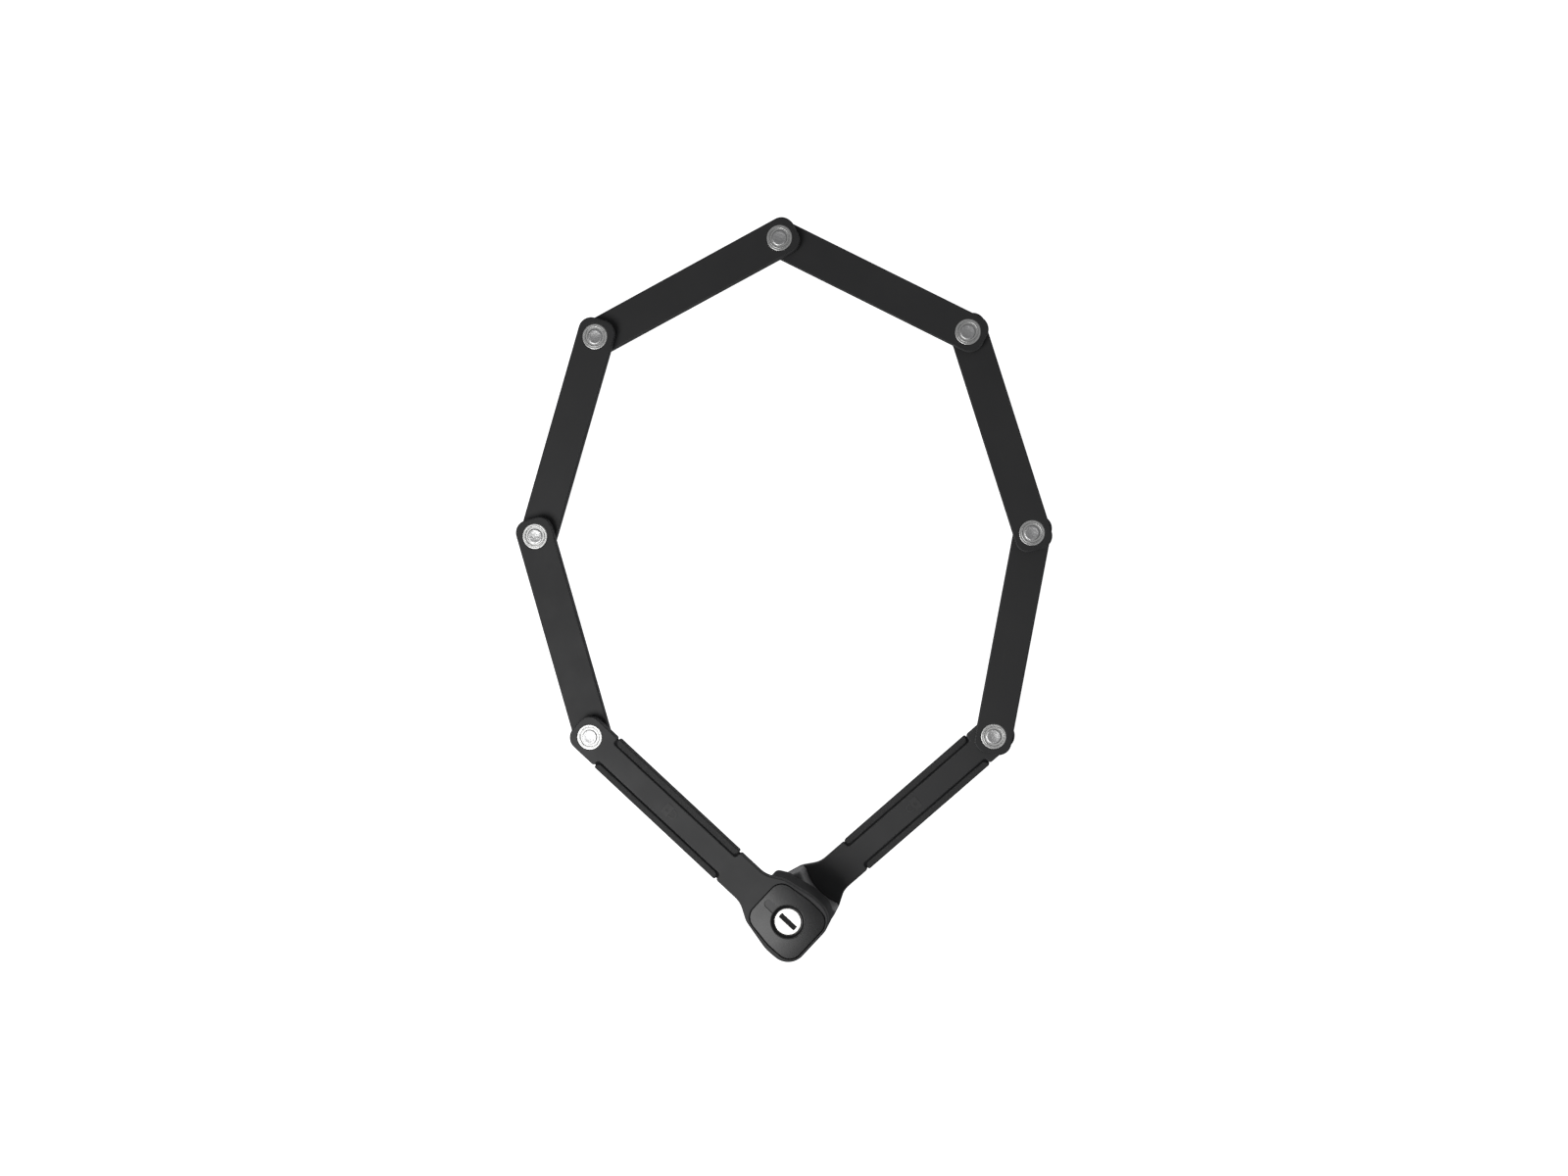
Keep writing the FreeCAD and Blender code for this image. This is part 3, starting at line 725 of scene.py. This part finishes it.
# ------------------------------------------------------------------ materials
class Surface:
    """One material in the making: its tree, its shader and the coordinates it reads."""

    def __init__(self, name, base, roughness, metallic=0.0, own_frame=True, **constants):
        self.material = bpy.data.materials.new(name)
        self.material.use_nodes = True
        self.tree = self.material.node_tree
        self.shader = self.tree.nodes["Principled BSDF"]
        self.shader.inputs["Metallic"].default_value = metallic
        for socket, value in constants.items():
            self.shader.inputs[socket.replace("_", " ")].default_value = value
        self.base = base
        self.rough = roughness
        if own_frame:
            self.vector = self.attribute("place").outputs["Vector"]
        else:
            self.vector = self.tree.nodes.new("ShaderNodeTexCoord").outputs["Object"]

    def attribute(self, name):
        return add(self.tree, "ShaderNodeAttribute", {"attribute_type": "GEOMETRY", "attribute_name": name})

    def effect(self, group, **inputs):
        values = {name: value for name, value in inputs.items()}
        values["Vector"] = self.vector
        return add(self.tree, "ShaderNodeGroup", {"node_tree": group}, values).outputs

    def paint(self, mask, colour):
        """Lays a colour over the base where the mask is."""
        made = add(self.tree, "ShaderNodeMix", {"data_type": "RGBA"}, {})
        plug(self.tree, made.inputs[0], mask)
        plug(self.tree, made.inputs[6], self.base if isinstance(self.base, bpy.types.NodeSocket) else (*self.base, 1))
        plug(self.tree, made.inputs[7], (*colour, 1))
        self.base = made.outputs[2]

    def roughen(self, mask, amount):
        """Adds to the roughness where the mask is; a negative amount polishes."""
        self.rough = calc(self.tree, "ADD", self.rough, calc(self.tree, "MULTIPLY", mask, amount))

    def finish(self, *bumps):
        """Bumps are (height, depth in mm) from the finest to the broadest."""
        normal = None
        for height, depth in bumps:
            inputs = {"Height": height, "Distance": depth * MM, "Strength": 1.0}
            if normal is not None:
                inputs["Normal"] = normal
            normal = add(self.tree, "ShaderNodeBump", None, inputs).outputs["Normal"]
        base = self.base if isinstance(self.base, bpy.types.NodeSocket) else (*self.base, 1)
        plug(self.tree, self.shader.inputs["Base Color"], base)
        plug(self.tree, self.shader.inputs["Roughness"], self.rough)
        if normal is not None:
            plug(self.tree, self.shader.inputs["Normal"], normal)
        return self.material


def moulded_black(name, base, roughness, worn, wear, grain=3200.0, grain_depth=0.01, scuffing=0.35,
                  dusting=0.06, own_frame=True, **constants):
    """Black moulded polymer: eroded grain, rubbed edges, hairline scuffs and a little dust."""
    surface = Surface(name, base, roughness, own_frame=own_frame, **constants)
    skin = surface.effect(grain_effect, Grain=grain)
    surface.paint(calc(surface.tree, "MULTIPLY", skin["Mottling"], 0.35), tuple(c * 1.35 for c in base))
    scuffs = surface.effect(scuff_effect, Amount=scuffing)["Mask"]
    surface.paint(calc(surface.tree, "MULTIPLY", scuffs, 0.5), worn)
    dust = surface.effect(dust_effect, Amount=dusting)["Mask"]
    surface.paint(dust, (0.28, 0.27, 0.26))
    if own_frame:
        edge = surface.attribute("edge").outputs["Fac"]
        rubbed = surface.effect(wear_effect, Edge=edge, Amount=wear)["Mask"]
        surface.paint(rubbed, worn)
        surface.roughen(rubbed, -0.12)
    surface.roughen(skin["Mottling"], 0.06)
    surface.roughen(dust, 0.3)
    return surface.finish((skin["Height"], grain_depth), (scuffs, 0.004))


def parted_line(surface):
    """The thin line left where the two halves of the mould met, halfway up the side."""
    level = surface.attribute("level").outputs["Fac"]
    off = calc(surface.tree, "ABSOLUTE", calc(surface.tree, "SUBTRACT", level, 0.5))
    return ramp(surface.tree, off, 0.0, 0.025, 1.0, 0.0)


def turned_metal(name, base, roughness, rings=9000.0, ring_depth=0.003, stain=(0.3, 0.28, 0.26), **constants):
    """Turned steel with concentric tool marks, small pits, handling stains and a painted sheen round its axis."""
    surface = Surface(name, base, roughness, metallic=1.0, **constants)
    lathe = surface.effect(lathe_effect, Rings=rings)
    pits = surface.effect(hammer_effect)["Pits"]
    # painted sheen: darker patches round the axis stand for the turned face's changing reflection
    surface.paint(calc(surface.tree, "MULTIPLY", lathe["Sheen"], 0.18), tuple(c * 0.72 for c in base))
    surface.paint(calc(surface.tree, "MULTIPLY", pits, 0.3), stain)
    surface.roughen(lathe["Sheen"], 0.1)
    surface.roughen(lathe["Height"], 0.08)
    surface.roughen(pits, 0.12)
    return surface.finish((lathe["Height"], ring_depth), (pits, -0.006))


def rolled_steel(name, base, roughness, own_frame=False, **constants):
    """Rolled plate or hardened steel: long fine lines, cloudy heat tint, light pitting."""
    surface = Surface(name, base, roughness, metallic=1.0, own_frame=own_frame, **constants)
    skin = surface.effect(grain_effect, Grain=1800.0, Mottle=120.0)
    lines = surface.effect(scuff_effect, Length=15.0, Fineness=3000.0, Amount=1.0)["Mask"]
    surface.paint(calc(surface.tree, "MULTIPLY", skin["Mottling"], 0.4), tuple(c * 0.6 for c in base))
    surface.paint(calc(surface.tree, "MULTIPLY", lines, 0.4), tuple(min(1.0, c * 1.5) for c in base))
    surface.roughen(skin["Mottling"], 0.12)
    return surface.finish((skin["Height"], 0.008), (lines, -0.003))


def link_jacket_material():
    surface = Surface("link_jacket_nylon", (0.030, 0.030, 0.031), 0.46, Specular_IOR_Level=0.42)
    skin = surface.effect(grain_effect, Grain=3600.0)
    surface.paint(calc(surface.tree, "MULTIPLY", skin["Mottling"], 0.4), (0.038, 0.038, 0.039))
    scuffs = surface.effect(scuff_effect, Amount=0.4, Length=22.0)["Mask"]
    surface.paint(calc(surface.tree, "MULTIPLY", scuffs, 0.35), (0.06, 0.06, 0.06))
    dust = surface.effect(dust_effect, Amount=0.05)["Mask"]
    surface.paint(dust, (0.26, 0.25, 0.24))
    edge = surface.attribute("edge").outputs["Fac"]
    rubbed = surface.effect(wear_effect, Edge=edge, Amount=0.55)["Mask"]
    surface.paint(rubbed, (0.1, 0.1, 0.1))
    surface.roughen(rubbed, -0.14)
    surface.roughen(skin["Mottling"], 0.07)
    surface.roughen(dust, 0.3)
    return surface.finish((skin["Height"], 0.011), (scuffs, 0.004), (parted_line(surface), 0.05))


def bumper_material():
    surface = Surface("stippled_rubber", (0.032, 0.032, 0.0325), 0.56, Specular_IOR_Level=0.45)
    dots = surface.effect(stipple_effect)
    surface.paint(calc(surface.tree, "MULTIPLY", dots["Rubbed"], 0.55), (0.09, 0.09, 0.09))
    dust = surface.effect(dust_effect, Amount=0.1)["Mask"]
    surface.paint(dust, (0.26, 0.25, 0.24))
    edge = surface.attribute("edge").outputs["Fac"]
    rubbed = surface.effect(wear_effect, Edge=edge, Amount=0.35)["Mask"]
    surface.paint(rubbed, (0.07, 0.07, 0.07))
    surface.roughen(dots["Height"], -0.1)
    return surface.finish((dots["Height"], 0.06))


def cap_material():
    """Gloss cap: hairlines, faint sink marks, and a slow crown that bends its reflections."""
    surface = Surface("gloss_cap", (0.012, 0.012, 0.0127), 0.23, Specular_IOR_Level=0.55)
    skin = surface.effect(grain_effect, Grain=5200.0, Mottle=70.0)
    scuffs = surface.effect(scuff_effect, Amount=0.5, Length=60.0)["Mask"]
    surface.paint(calc(surface.tree, "MULTIPLY", scuffs, 0.25), (0.08, 0.08, 0.08))
    dust = surface.effect(dust_effect, Amount=0.04)["Mask"]
    surface.paint(dust, (0.26, 0.25, 0.24))
    edge = surface.attribute("edge").outputs["Fac"]
    rubbed = surface.effect(wear_effect, Edge=edge, Amount=0.4)["Mask"]
    surface.paint(rubbed, (0.07, 0.07, 0.07))
    surface.roughen(skin["Mottling"], 0.05)
    surface.roughen(scuffs, 0.2)
    surface.roughen(dust, 0.3)
    parts = add(surface.tree, "ShaderNodeSeparateXYZ", None, {0: surface.vector}).outputs
    bowed = calc(surface.tree, "ADD", calc(surface.tree, "MULTIPLY", parts[0], parts[0]),
                 calc(surface.tree, "MULTIPLY", parts[1], parts[1]))
    crown = calc(surface.tree, "MULTIPLY", bowed, -2500.0)
    return surface.finish((skin["Height"], 0.002), (scuffs, 0.002), (crown, 1.0))


def plug_material():
    surface = Surface("nickel_plug", (0.78, 0.77, 0.75), 0.3, metallic=1.0)
    lathe = surface.effect(lathe_effect, Rings=5000.0)
    scuffs = surface.effect(scuff_effect, Length=120.0, Fineness=2600.0, Amount=0.8)["Mask"]
    skin = surface.effect(grain_effect, Grain=2400.0, Mottle=240.0)
    surface.paint(calc(surface.tree, "MULTIPLY", skin["Mottling"], 0.2), (0.55, 0.54, 0.52))
    surface.paint(calc(surface.tree, "MULTIPLY", scuffs, 0.35), (0.42, 0.41, 0.4))
    surface.roughen(lathe["Sheen"], 0.08)
    surface.roughen(scuffs, 0.15)
    return surface.finish((lathe["Height"], 0.002), (scuffs, -0.003))


def pin_material():
    surface = Surface("riveted_pin", (0.60, 0.60, 0.60), 0.3, metallic=1.0)
    facets = surface.effect(hammer_effect)
    lathe = surface.effect(lathe_effect, Rings=4200.0)
    surface.paint(calc(surface.tree, "MULTIPLY", facets["Pits"], 0.5), (0.22, 0.21, 0.2))
    # painted sheen: a darker tone round the axis stands for the turned face's changing reflection
    surface.paint(calc(surface.tree, "MULTIPLY", lathe["Sheen"], 0.3), (0.4, 0.4, 0.4))
    surface.roughen(facets["Pits"], 0.15)
    surface.roughen(lathe["Sheen"], 0.1)
    return surface.finish((facets["Height"], 0.05), (lathe["Height"], 0.006))


def mark_material():
    surface = Surface("raised_mark", (0.05, 0.05, 0.05), 0.45)
    skin = surface.effect(grain_effect, Grain=4000.0)
    edge = surface.attribute("edge").outputs["Fac"]
    surface.paint(calc(surface.tree, "MULTIPLY", edge, 0.5), (0.13, 0.13, 0.13))
    surface.roughen(skin["Mottling"], 0.08)
    return surface.finish((skin["Height"], 0.006))


finishes = {
    "link_jacket": link_jacket_material(),
    "arm_cover": moulded_black("arm_cover_nylon", (0.035, 0.035, 0.036), 0.44, (0.12, 0.12, 0.12), 0.5,
                               grain=3000.0, Specular_IOR_Level=0.45),
    "bumper": bumper_material(),
    "head_cap": cap_material(),
    # the thumb notch's lighter base colour is a painted highlight standing for a reflection in the cap's notch
    "thumb_notch": moulded_black("thumb_notch_painted_highlight", (0.085, 0.085, 0.086), 0.34, (0.12, 0.12, 0.12), 0.4,
                                 grain=4200.0, scuffing=0.6),
    "key_housing": moulded_black("housing_nylon", (0.014, 0.014, 0.0145), 0.48, (0.08, 0.08, 0.08), 0.5),
    "socket_housing": moulded_black("socket_head_satin", (0.24, 0.24, 0.243), 0.36, (0.42, 0.42, 0.42), 0.6,
                                    grain=2600.0, scuffing=0.8, Metallic=0.35),
    "sleeve": moulded_black("sleeve_black", (0.008, 0.008, 0.008), 0.3, (0.06, 0.06, 0.06), 0.4,
                            grain=5200.0, grain_depth=0.003),
    "plug": plug_material(),
    # near-black sheet under the keyway: painted shade for the keyway's dark inside
    "shade_sheet": moulded_black("keyway_shade_sheet", (0.002, 0.002, 0.002), 0.6, (0.01, 0.01, 0.01), 0.1),
    "rivet_collar": turned_metal("turned_collar", (0.66, 0.66, 0.65), 0.26),
    "rivet_pin": pin_material(),
    "spacer": rolled_steel("pressed_washer", (0.5, 0.5, 0.5), 0.38),
    "steel_core": rolled_steel("hardened_plate", (0.02, 0.02, 0.021), 0.5),
    "hard_steel": rolled_steel("hardened_steel", (0.55, 0.55, 0.56), 0.24),
    "bolt": turned_metal("ground_bolt", (0.6, 0.6, 0.6), 0.2, rings=12000.0),
    "brass": rolled_steel("pressed_brass", (0.62, 0.44, 0.2), 0.34),
    "screw": turned_metal("black_oxide_screw", (0.12, 0.12, 0.125), 0.34, rings=6000.0, stain=(0.05, 0.04, 0.035)),
    "mark": mark_material(),
}


# ------------------------------------------------------------------ links
def make_links():
    for number in range(1, link_count + 1):
        node = "link_%d_jacket" % number
        low, high = heights(node)
        start, end = rivets[number], rivets[number + 1]
        loops = [outside(strip_loop()), hole(circle_loop(bore_radius)),
                 hole(circle_loop(bore_radius, link_pitch))]
        mesh = plate_mesh(loops, low, high, finishes["link_jacket"], crisp=0.18,
                          turn=bearing(start, end), centre=start)
        piece("link_%d_cover" % number, mesh, "link_%d" % number, "link_jacket", node)


# ------------------------------------------------------------------ rivets
def collar_profile(crown, seat):
    """Ring with a rounded ridge, a moat round the pin and a soft outer edge, top or bottom."""
    way = 1 if crown > seat else -1
    moat = crown - way * moat_depth * MM
    slope = crown - way * 0.09 * MM
    points = [(pin_radius, moat), (ridge_middle - ridge_half, moat)]
    for k in range(9):
        angle = math.pi * (1 - k / 8)
        lift = math.sin(angle)
        points.append((ridge_middle + ridge_half * math.cos(angle) * 0.9,
                       slope + way * 0.09 * MM * lift - way * 0.04 * MM * (1 - lift)))
    outer = collar_radius - collar_bevel
    for k in range(6):
        angle = math.pi / 2 * (1 - k / 5)
        points.append((outer + collar_bevel * math.cos(angle),
                       slope - way * collar_bevel * 0.6 * MM * (1 - math.sin(angle))))
    points += [(collar_radius, seat), (pin_radius, seat)]
    return points if way > 0 else points[::-1]


def pin_profile(low, high):
    """Headed pin, bevelled and slightly dished at both ends."""
    end = [(0.0, pin_dimple), (1.5, pin_dimple * 0.85), (2.4, pin_dimple * 0.3), (2.9, 0.0),
           (pin_radius - pin_bevel, 0.0), (pin_radius - pin_bevel * 0.3, pin_bevel * 0.3),
           (pin_radius, pin_bevel)]
    top = [(r, high - sink * MM) for r, sink in end]
    bottom = [(r, low + sink * MM) for r, sink in reversed(end)]
    return top + bottom


def make_rivets():
    for number in range(1, link_count + 2):
        body = "rivet_%d" % number
        low, high = heights(body + "_collars")
        profiles = [collar_profile(high, high - collar_top_height * MM),
                    collar_profile(low, low + collar_bottom_height * MM)]
        mesh = turned_mesh(profiles, rivets[number], finishes["rivet_collar"])
        piece(body + "_rings", mesh, body, "rivet_collar", body + "_collars")
        low, high = heights(body + "_pin")
        mesh = turned_mesh([pin_profile(low, high)], rivets[number], finishes["rivet_pin"], closed=False)
        piece(body + "_head", mesh, body, "rivet_pin", body + "_pin")


# ------------------------------------------------------------------ arms and heads
def make_bumper(node, side, body, turn):
    low, high = heights(node)
    mesh = plate_mesh([outside(bumper_loop(side))], low, high, finishes["bumper"], top=0.6, bottom=0.2,
                      rim=0.08, turn=turn)
    piece(node + "_strip", mesh, body, "bumper", node)


def padlock_mark(name, body, along, roof, turn):
    """A small generic padlock sign, raised by a tenth of a millimetre."""
    def upright(points):
        return [Vector((along + p.y, -p.x)) for p in points]

    plate_part = upright(rounded_loop([(-3.0, -2.6, 0.7), (3.0, -2.6, 0.7), (3.0, 1.6, 0.7), (-3.0, 1.6, 0.7)]))
    keyhole = upright(circle_loop(0.75, 0.0, -0.4, 20))
    shackle = arc_points(2.25, 0, 2.9, 180, 0, 16) + [Vector((2.25, 1.7)), Vector((1.35, 1.7))]
    shackle += arc_points(1.35, 0, 2.9, 0, 180, 12) + [Vector((-1.35, 1.7)), Vector((-2.25, 1.7))]
    loops = [outside(plate_part, True), hole(keyhole), outside(upright(shackle), True)]
    mesh = plate_mesh(loops, roof - 0.1 * MM, roof + 0.12 * MM, finishes["mark"], crisp=0.05, rim=0.05,
                      turn=turn)
    piece(name, mesh, body, "arm_cover")


def make_key_arm():
    low, roof = heights("key_arm_cover")
    loops = [outside(arm_loop()), hole(circle_loop(bore_radius, -arm_pitch)),
             hole(cap_loop(cap_gap))]
    mesh = plate_mesh(loops, low, roof, finishes["arm_cover"], top=cover_round, bottom=0.5, crisp=0.1,
                      rim=cover_rim, turn=key_bearing)
    piece("key_arm_shell", mesh, "key_arm", "arm_cover", "key_arm_cover")
    make_bumper("key_arm_bumper_outer", -1, "key_arm", key_bearing)
    make_bumper("key_arm_bumper_inner", 1, "key_arm", key_bearing)
    padlock_mark("key_arm_sign", "key_arm", sign_place, roof, key_bearing)

    notch_floor = roof - thumb_notch_depth * MM
    mesh = plate_mesh([outside(cap_loop(0)), hole(bore_and_notch_loop())], notch_floor, roof,
                      finishes["head_cap"], top=cap_round, bottom=0.0, crisp=0.05, rim=0.04, turn=key_bearing)
    piece("cap_face", mesh, "key_arm", "head_cap", "key_head_cap")
    # The notch floor below takes the lighter finish, whose colour is a painted highlight.
    notch = rounded_loop(both_sides([(thumb_notch_start - 0.3, 2.3, 2.2), (-cylinder_bore + 0.9, 2.3, 0.3)]))
    mesh = plate_mesh([outside(notch)], roof - cap_skin * MM, notch_floor + 0.02 * MM, finishes["thumb_notch"],
                      top=0.0, bottom=0.0, rim=0.1, turn=key_bearing)
    piece("cap_thumb_notch", mesh, "key_arm", "head_cap")

    low, high = heights("key_head_housing")
    pocket = hole(block_loop(base_inset - base_gap))
    mesh = plate_mesh([outside(block_loop(0)), pocket], low, high, finishes["key_housing"],
                      top=0.15, bottom=head_edge_round, crisp=0.1, rim=0.08, turn=key_bearing)
    piece("key_head_shell", mesh, "key_arm", "key_housing", "key_head_housing")
    low, high = heights("key_head_base")
    holes = [hole(circle_loop(bolt_hole))] + [hole(circle_loop(1.75, x, y, 28)) for x, y in screw_places()]
    mesh = plate_mesh([outside(block_loop(base_inset))] + holes, low, high, finishes["key_housing"],
                      top=0.1, bottom=0.2, rim=0.1, turn=key_bearing)
    piece("key_head_bottom", mesh, "key_arm", "key_housing", "key_head_base")


def make_cylinder():
    low, high = heights("cylinder_sleeve")
    dish = high - (dish_depth - 0.1) * MM
    inner = plug_radius + 0.05
    profile = [(inner, dish), (inner + 0.35, dish), (inner + 0.6, dish + 0.1 * MM),
               (sleeve_radius - 0.55, high - 0.1 * MM), (sleeve_radius - 0.35, high),
               (sleeve_radius - 0.1, high), (sleeve_radius, high - 0.1 * MM), (sleeve_radius, low),
               (inner, low)]
    mesh = turned_mesh([profile], lock_axis, finishes["sleeve"])
    piece("cylinder_dish", mesh, "key_arm", "sleeve", "cylinder_sleeve")
    low, high = heights("plug_shell")
    mesh = plate_mesh([outside(circle_loop(plug_radius, steps=80)), hole(keyway_loop())], low, high,
                      finishes["plug"], top=0.3, bottom=0.3, crisp=0.12, rim=0.12, turn=key_bearing)
    piece("plug_face", mesh, "key_plug", "plug", "plug_shell")
    # A near-black sheet just under the plug face fills the keyway: painted shade standing for its dark inside.
    shade_sheet = rounded_loop(both_sides([(-keyway_length / 2 - 0.1, keyway_width / 2 + 0.1, 0.1),
                                       (keyway_length / 2 + 0.1, keyway_width / 2 + 0.1, 0.1)]))
    shade_sheet_top = high - shade_sheet_depth * MM
    mesh = plate_mesh([outside(shade_sheet)], shade_sheet_top - 0.4 * MM, shade_sheet_top, finishes["shade_sheet"],
                      top=0.03, bottom=0.03, rim=0.03, turn=key_bearing)
    piece("keyway_shade_sheet", mesh, "key_plug", "plug")
    low, high = heights("lock_bolt")
    nose = [(0.0, high), (bolt_radius - 0.3, high), (bolt_radius, high - 0.3 * MM),
            (bolt_radius, low + 0.6 * MM), (bolt_radius - 0.18, low + 0.24 * MM),
            (bolt_radius - 0.6, low), (1.2, low), (0.8, low + 0.4 * MM), (0.0, low + 0.5 * MM)]
    mesh = turned_mesh([nose], lock_axis, finishes["bolt"], closed=False)
    piece("bolt_nose", mesh, "lock_bolt", "hard_steel", "lock_bolt")


def make_socket_arm():
    low, roof = heights("socket_arm_cover")
    seam = heights("socket_base")[1]
    loops = [outside(arm_loop()), hole(circle_loop(bore_radius, -arm_pitch))]
    mesh = plate_mesh(loops, seam, roof, finishes["arm_cover"], top=jacket_round, bottom=0.0,
                      crisp=0.12, rim=0.2, turn=socket_bearing)
    piece("socket_arm_shell", mesh, "socket_arm", "arm_cover", "socket_arm_cover")
    loops.append(hole(block_loop(base_inset - base_gap)))
    mesh = plate_mesh(loops, low, seam, finishes["arm_cover"], top=0.0, bottom=0.4, crisp=0.12, rim=0.2,
                      turn=socket_bearing)
    piece("socket_arm_underside", mesh, "socket_arm", "arm_cover")
    make_bumper("socket_arm_bumper_inner", -1, "socket_arm", socket_bearing)
    make_bumper("socket_arm_bumper_outer", 1, "socket_arm", socket_bearing)
    padlock_mark("socket_arm_sign", "socket_arm", sign_place, roof, socket_bearing)

    low, high = heights("socket_housing")
    loops = [outside(socket_head_loop()), hole(circle_loop(cylinder_bore))]
    mesh = plate_mesh(loops, low, high, finishes["socket_housing"], top=head_edge_round, bottom=0.1,
                      crisp=0.1, rim=0.2, turn=socket_bearing)
    piece("socket_head_shell", mesh, "socket_arm", "socket_housing", "socket_housing")
    low, high = heights("socket_bush")
    floor = low + 1.5 * MM
    profile = [(0.0, floor), (bolt_hole, floor), (bolt_hole, high - bush_mouth * MM),
               (bolt_hole + bush_mouth, high), (sleeve_radius - 0.15, high), (sleeve_radius, high - 0.15 * MM),
               (sleeve_radius, low), (0.0, low)]
    mesh = turned_mesh([profile], lock_axis, finishes["bolt"], closed=False)
    piece("socket_bore", mesh, "socket_arm", "hard_steel", "socket_bush")
    low, high = heights("socket_base")
    holes = [hole(circle_loop(1.75, x, y, 28)) for x, y in screw_places()]
    mesh = plate_mesh([outside(block_loop(base_inset))] + holes, low, high,
                      finishes["key_housing"], top=0.05, bottom=0.15, crisp=0.1, rim=0.08, turn=socket_bearing)
    piece("socket_bottom", mesh, "socket_arm", "key_housing", "socket_base")


def make_screws(name, body, node, turn, seed):
    """Screw heads in the underside, made looking up and then turned face down."""
    low, _ = heights(node)
    points = bpy.data.meshes.new("screw places")
    points.from_pydata([(x * MM, y * MM, 0.0) for x, y in screw_places()], [], [])
    mesh = evaluated(points, screw_heads,
                     {"Head Radius": screw_head_radius * MM, "Hexagon Radius": screw_hex_radius * MM,
                      "Height": 0.9 * MM, "Depth": 0.6 * MM, "Seed": seed, "Finish": finishes["screw"]})
    cos, sin = math.cos(turn), math.sin(turn)
    for vertex in mesh.vertices:
        x, y, z = vertex.co.x, -vertex.co.y, -vertex.co.z
        vertex.co = (lock_axis.x + x * cos - y * sin, lock_axis.y + x * sin + y * cos, low + 0.9 * MM + z)
    piece(name, mesh, body, "screw", node)


make_links()
make_rivets()
make_key_arm()
make_cylinder()
make_socket_arm()
make_screws("key_head_screw_heads", "key_arm", "key_head_screws", key_bearing, 4)
make_screws("socket_screw_heads", "socket_arm", "socket_screws", socket_bearing, 9)

# parts that stay as the CAD made them, with their finish
inner_finish = {"steel_core": "steel_core", "spacer": "spacer", "brass": "brass", "hard_steel": "hard_steel",
                "sleeve": "sleeve", "screw": "screw"}
slots = {row["node"]: row["material_slot"] for row in frame["record"]["subparts"]}
for name, node in frame["nodes"].items():
    finish = finishes[inner_finish.get(slots[name], slots[name])]
    for material_slot in node.material_slots:
        material_slot.material = finish


# ------------------------------------------------------------------ floor, light and camera
low_corner, high_corner = (Vector(corner) for corner in cad_box)
middle = (low_corner + high_corner) / 2

floor_half = 3.0
floor_mesh = bpy.data.meshes.new("studio_floor")
floor_z = low_corner.z - 0.0003
floor_mesh.from_pydata([(-floor_half, -floor_half, floor_z), (floor_half, -floor_half, floor_z),
                        (floor_half, floor_half, floor_z), (-floor_half, floor_half, floor_z)],
                       [], [(0, 1, 2, 3)])
floor = bpy.data.objects.new("studio_floor", floor_mesh)
bpy.context.scene.collection.objects.link(floor)
floor_paint = bpy.data.materials.new("white_sweep")
floor_paint.use_nodes = True
floor_shader = floor_paint.node_tree.nodes["Principled BSDF"]
floor_shader.inputs["Base Color"].default_value = (0.9, 0.9, 0.9, 1)
floor_shader.inputs["Roughness"].default_value = 0.9
floor_shader.inputs["Emission Color"].default_value = (1, 1, 1, 1)
floor_shader.inputs["Emission Strength"].default_value = 1.0
floor_mesh.materials.append(floor_paint)
floor.visible_glossy = False


def soft_light(name, size, power, place, aim):
    data = bpy.data.lights.new(name, "AREA")
    data.shape = "RECTANGLE"
    data.size, data.size_y = size
    data.energy = power
    light = bpy.data.objects.new(name, data)
    light.location = middle + Vector(place)
    light.rotation_euler = (middle + Vector(aim) - light.location).to_track_quat("-Z", "Y").to_euler()
    bpy.context.scene.collection.objects.link(light)


soft_light("key_softbox", (0.6, 0.6), 4.6, (-0.42, -0.40, 0.95), (0.0, -0.05, 0.0))
soft_light("top_softbox", (1.4, 1.4), 1.0, (0.1, 0.2, 1.5), (0.0, 0.0, 0.0))
soft_light("far_fill", (0.8, 0.5), 0.3, (0.6, 0.7, 0.5), (0.0, 0.0, 0.0))

world = bpy.data.worlds.new("studio")
bpy.context.scene.world = world
world.use_nodes = True
world.node_tree.nodes["Background"].inputs["Color"].default_value = (0.95, 0.96, 1.0, 1)
world.node_tree.nodes["Background"].inputs["Strength"].default_value = 0.1

camera_distance = 1.0
camera_lean = (math.radians(7.63), math.radians(3.08))
camera_data = bpy.data.cameras.new("camera")
camera_data.lens = 48.19
camera_data.sensor_width = 36.0
camera_data.dof.use_dof = False
camera = bpy.data.objects.new("camera", camera_data)
aim = Vector((-0.0045, 0.162, 0.020))
toward = Vector((math.tan(camera_lean[0]), math.tan(camera_lean[1]), 1.0)).normalized()
camera.location = aim + toward * camera_distance
across = Vector((0, 1, 0)).cross(toward).normalized()
upward = toward.cross(across)
camera.rotation_euler = Matrix((across, upward, toward)).transposed().to_euler()
camera_data.shift_x = 0.3 / 1600
camera_data.shift_y = -11.9 / 1600
bpy.context.scene.collection.objects.link(camera)
bpy.context.scene.camera = camera
bpy.context.scene.view_settings.view_transform = "Standard"
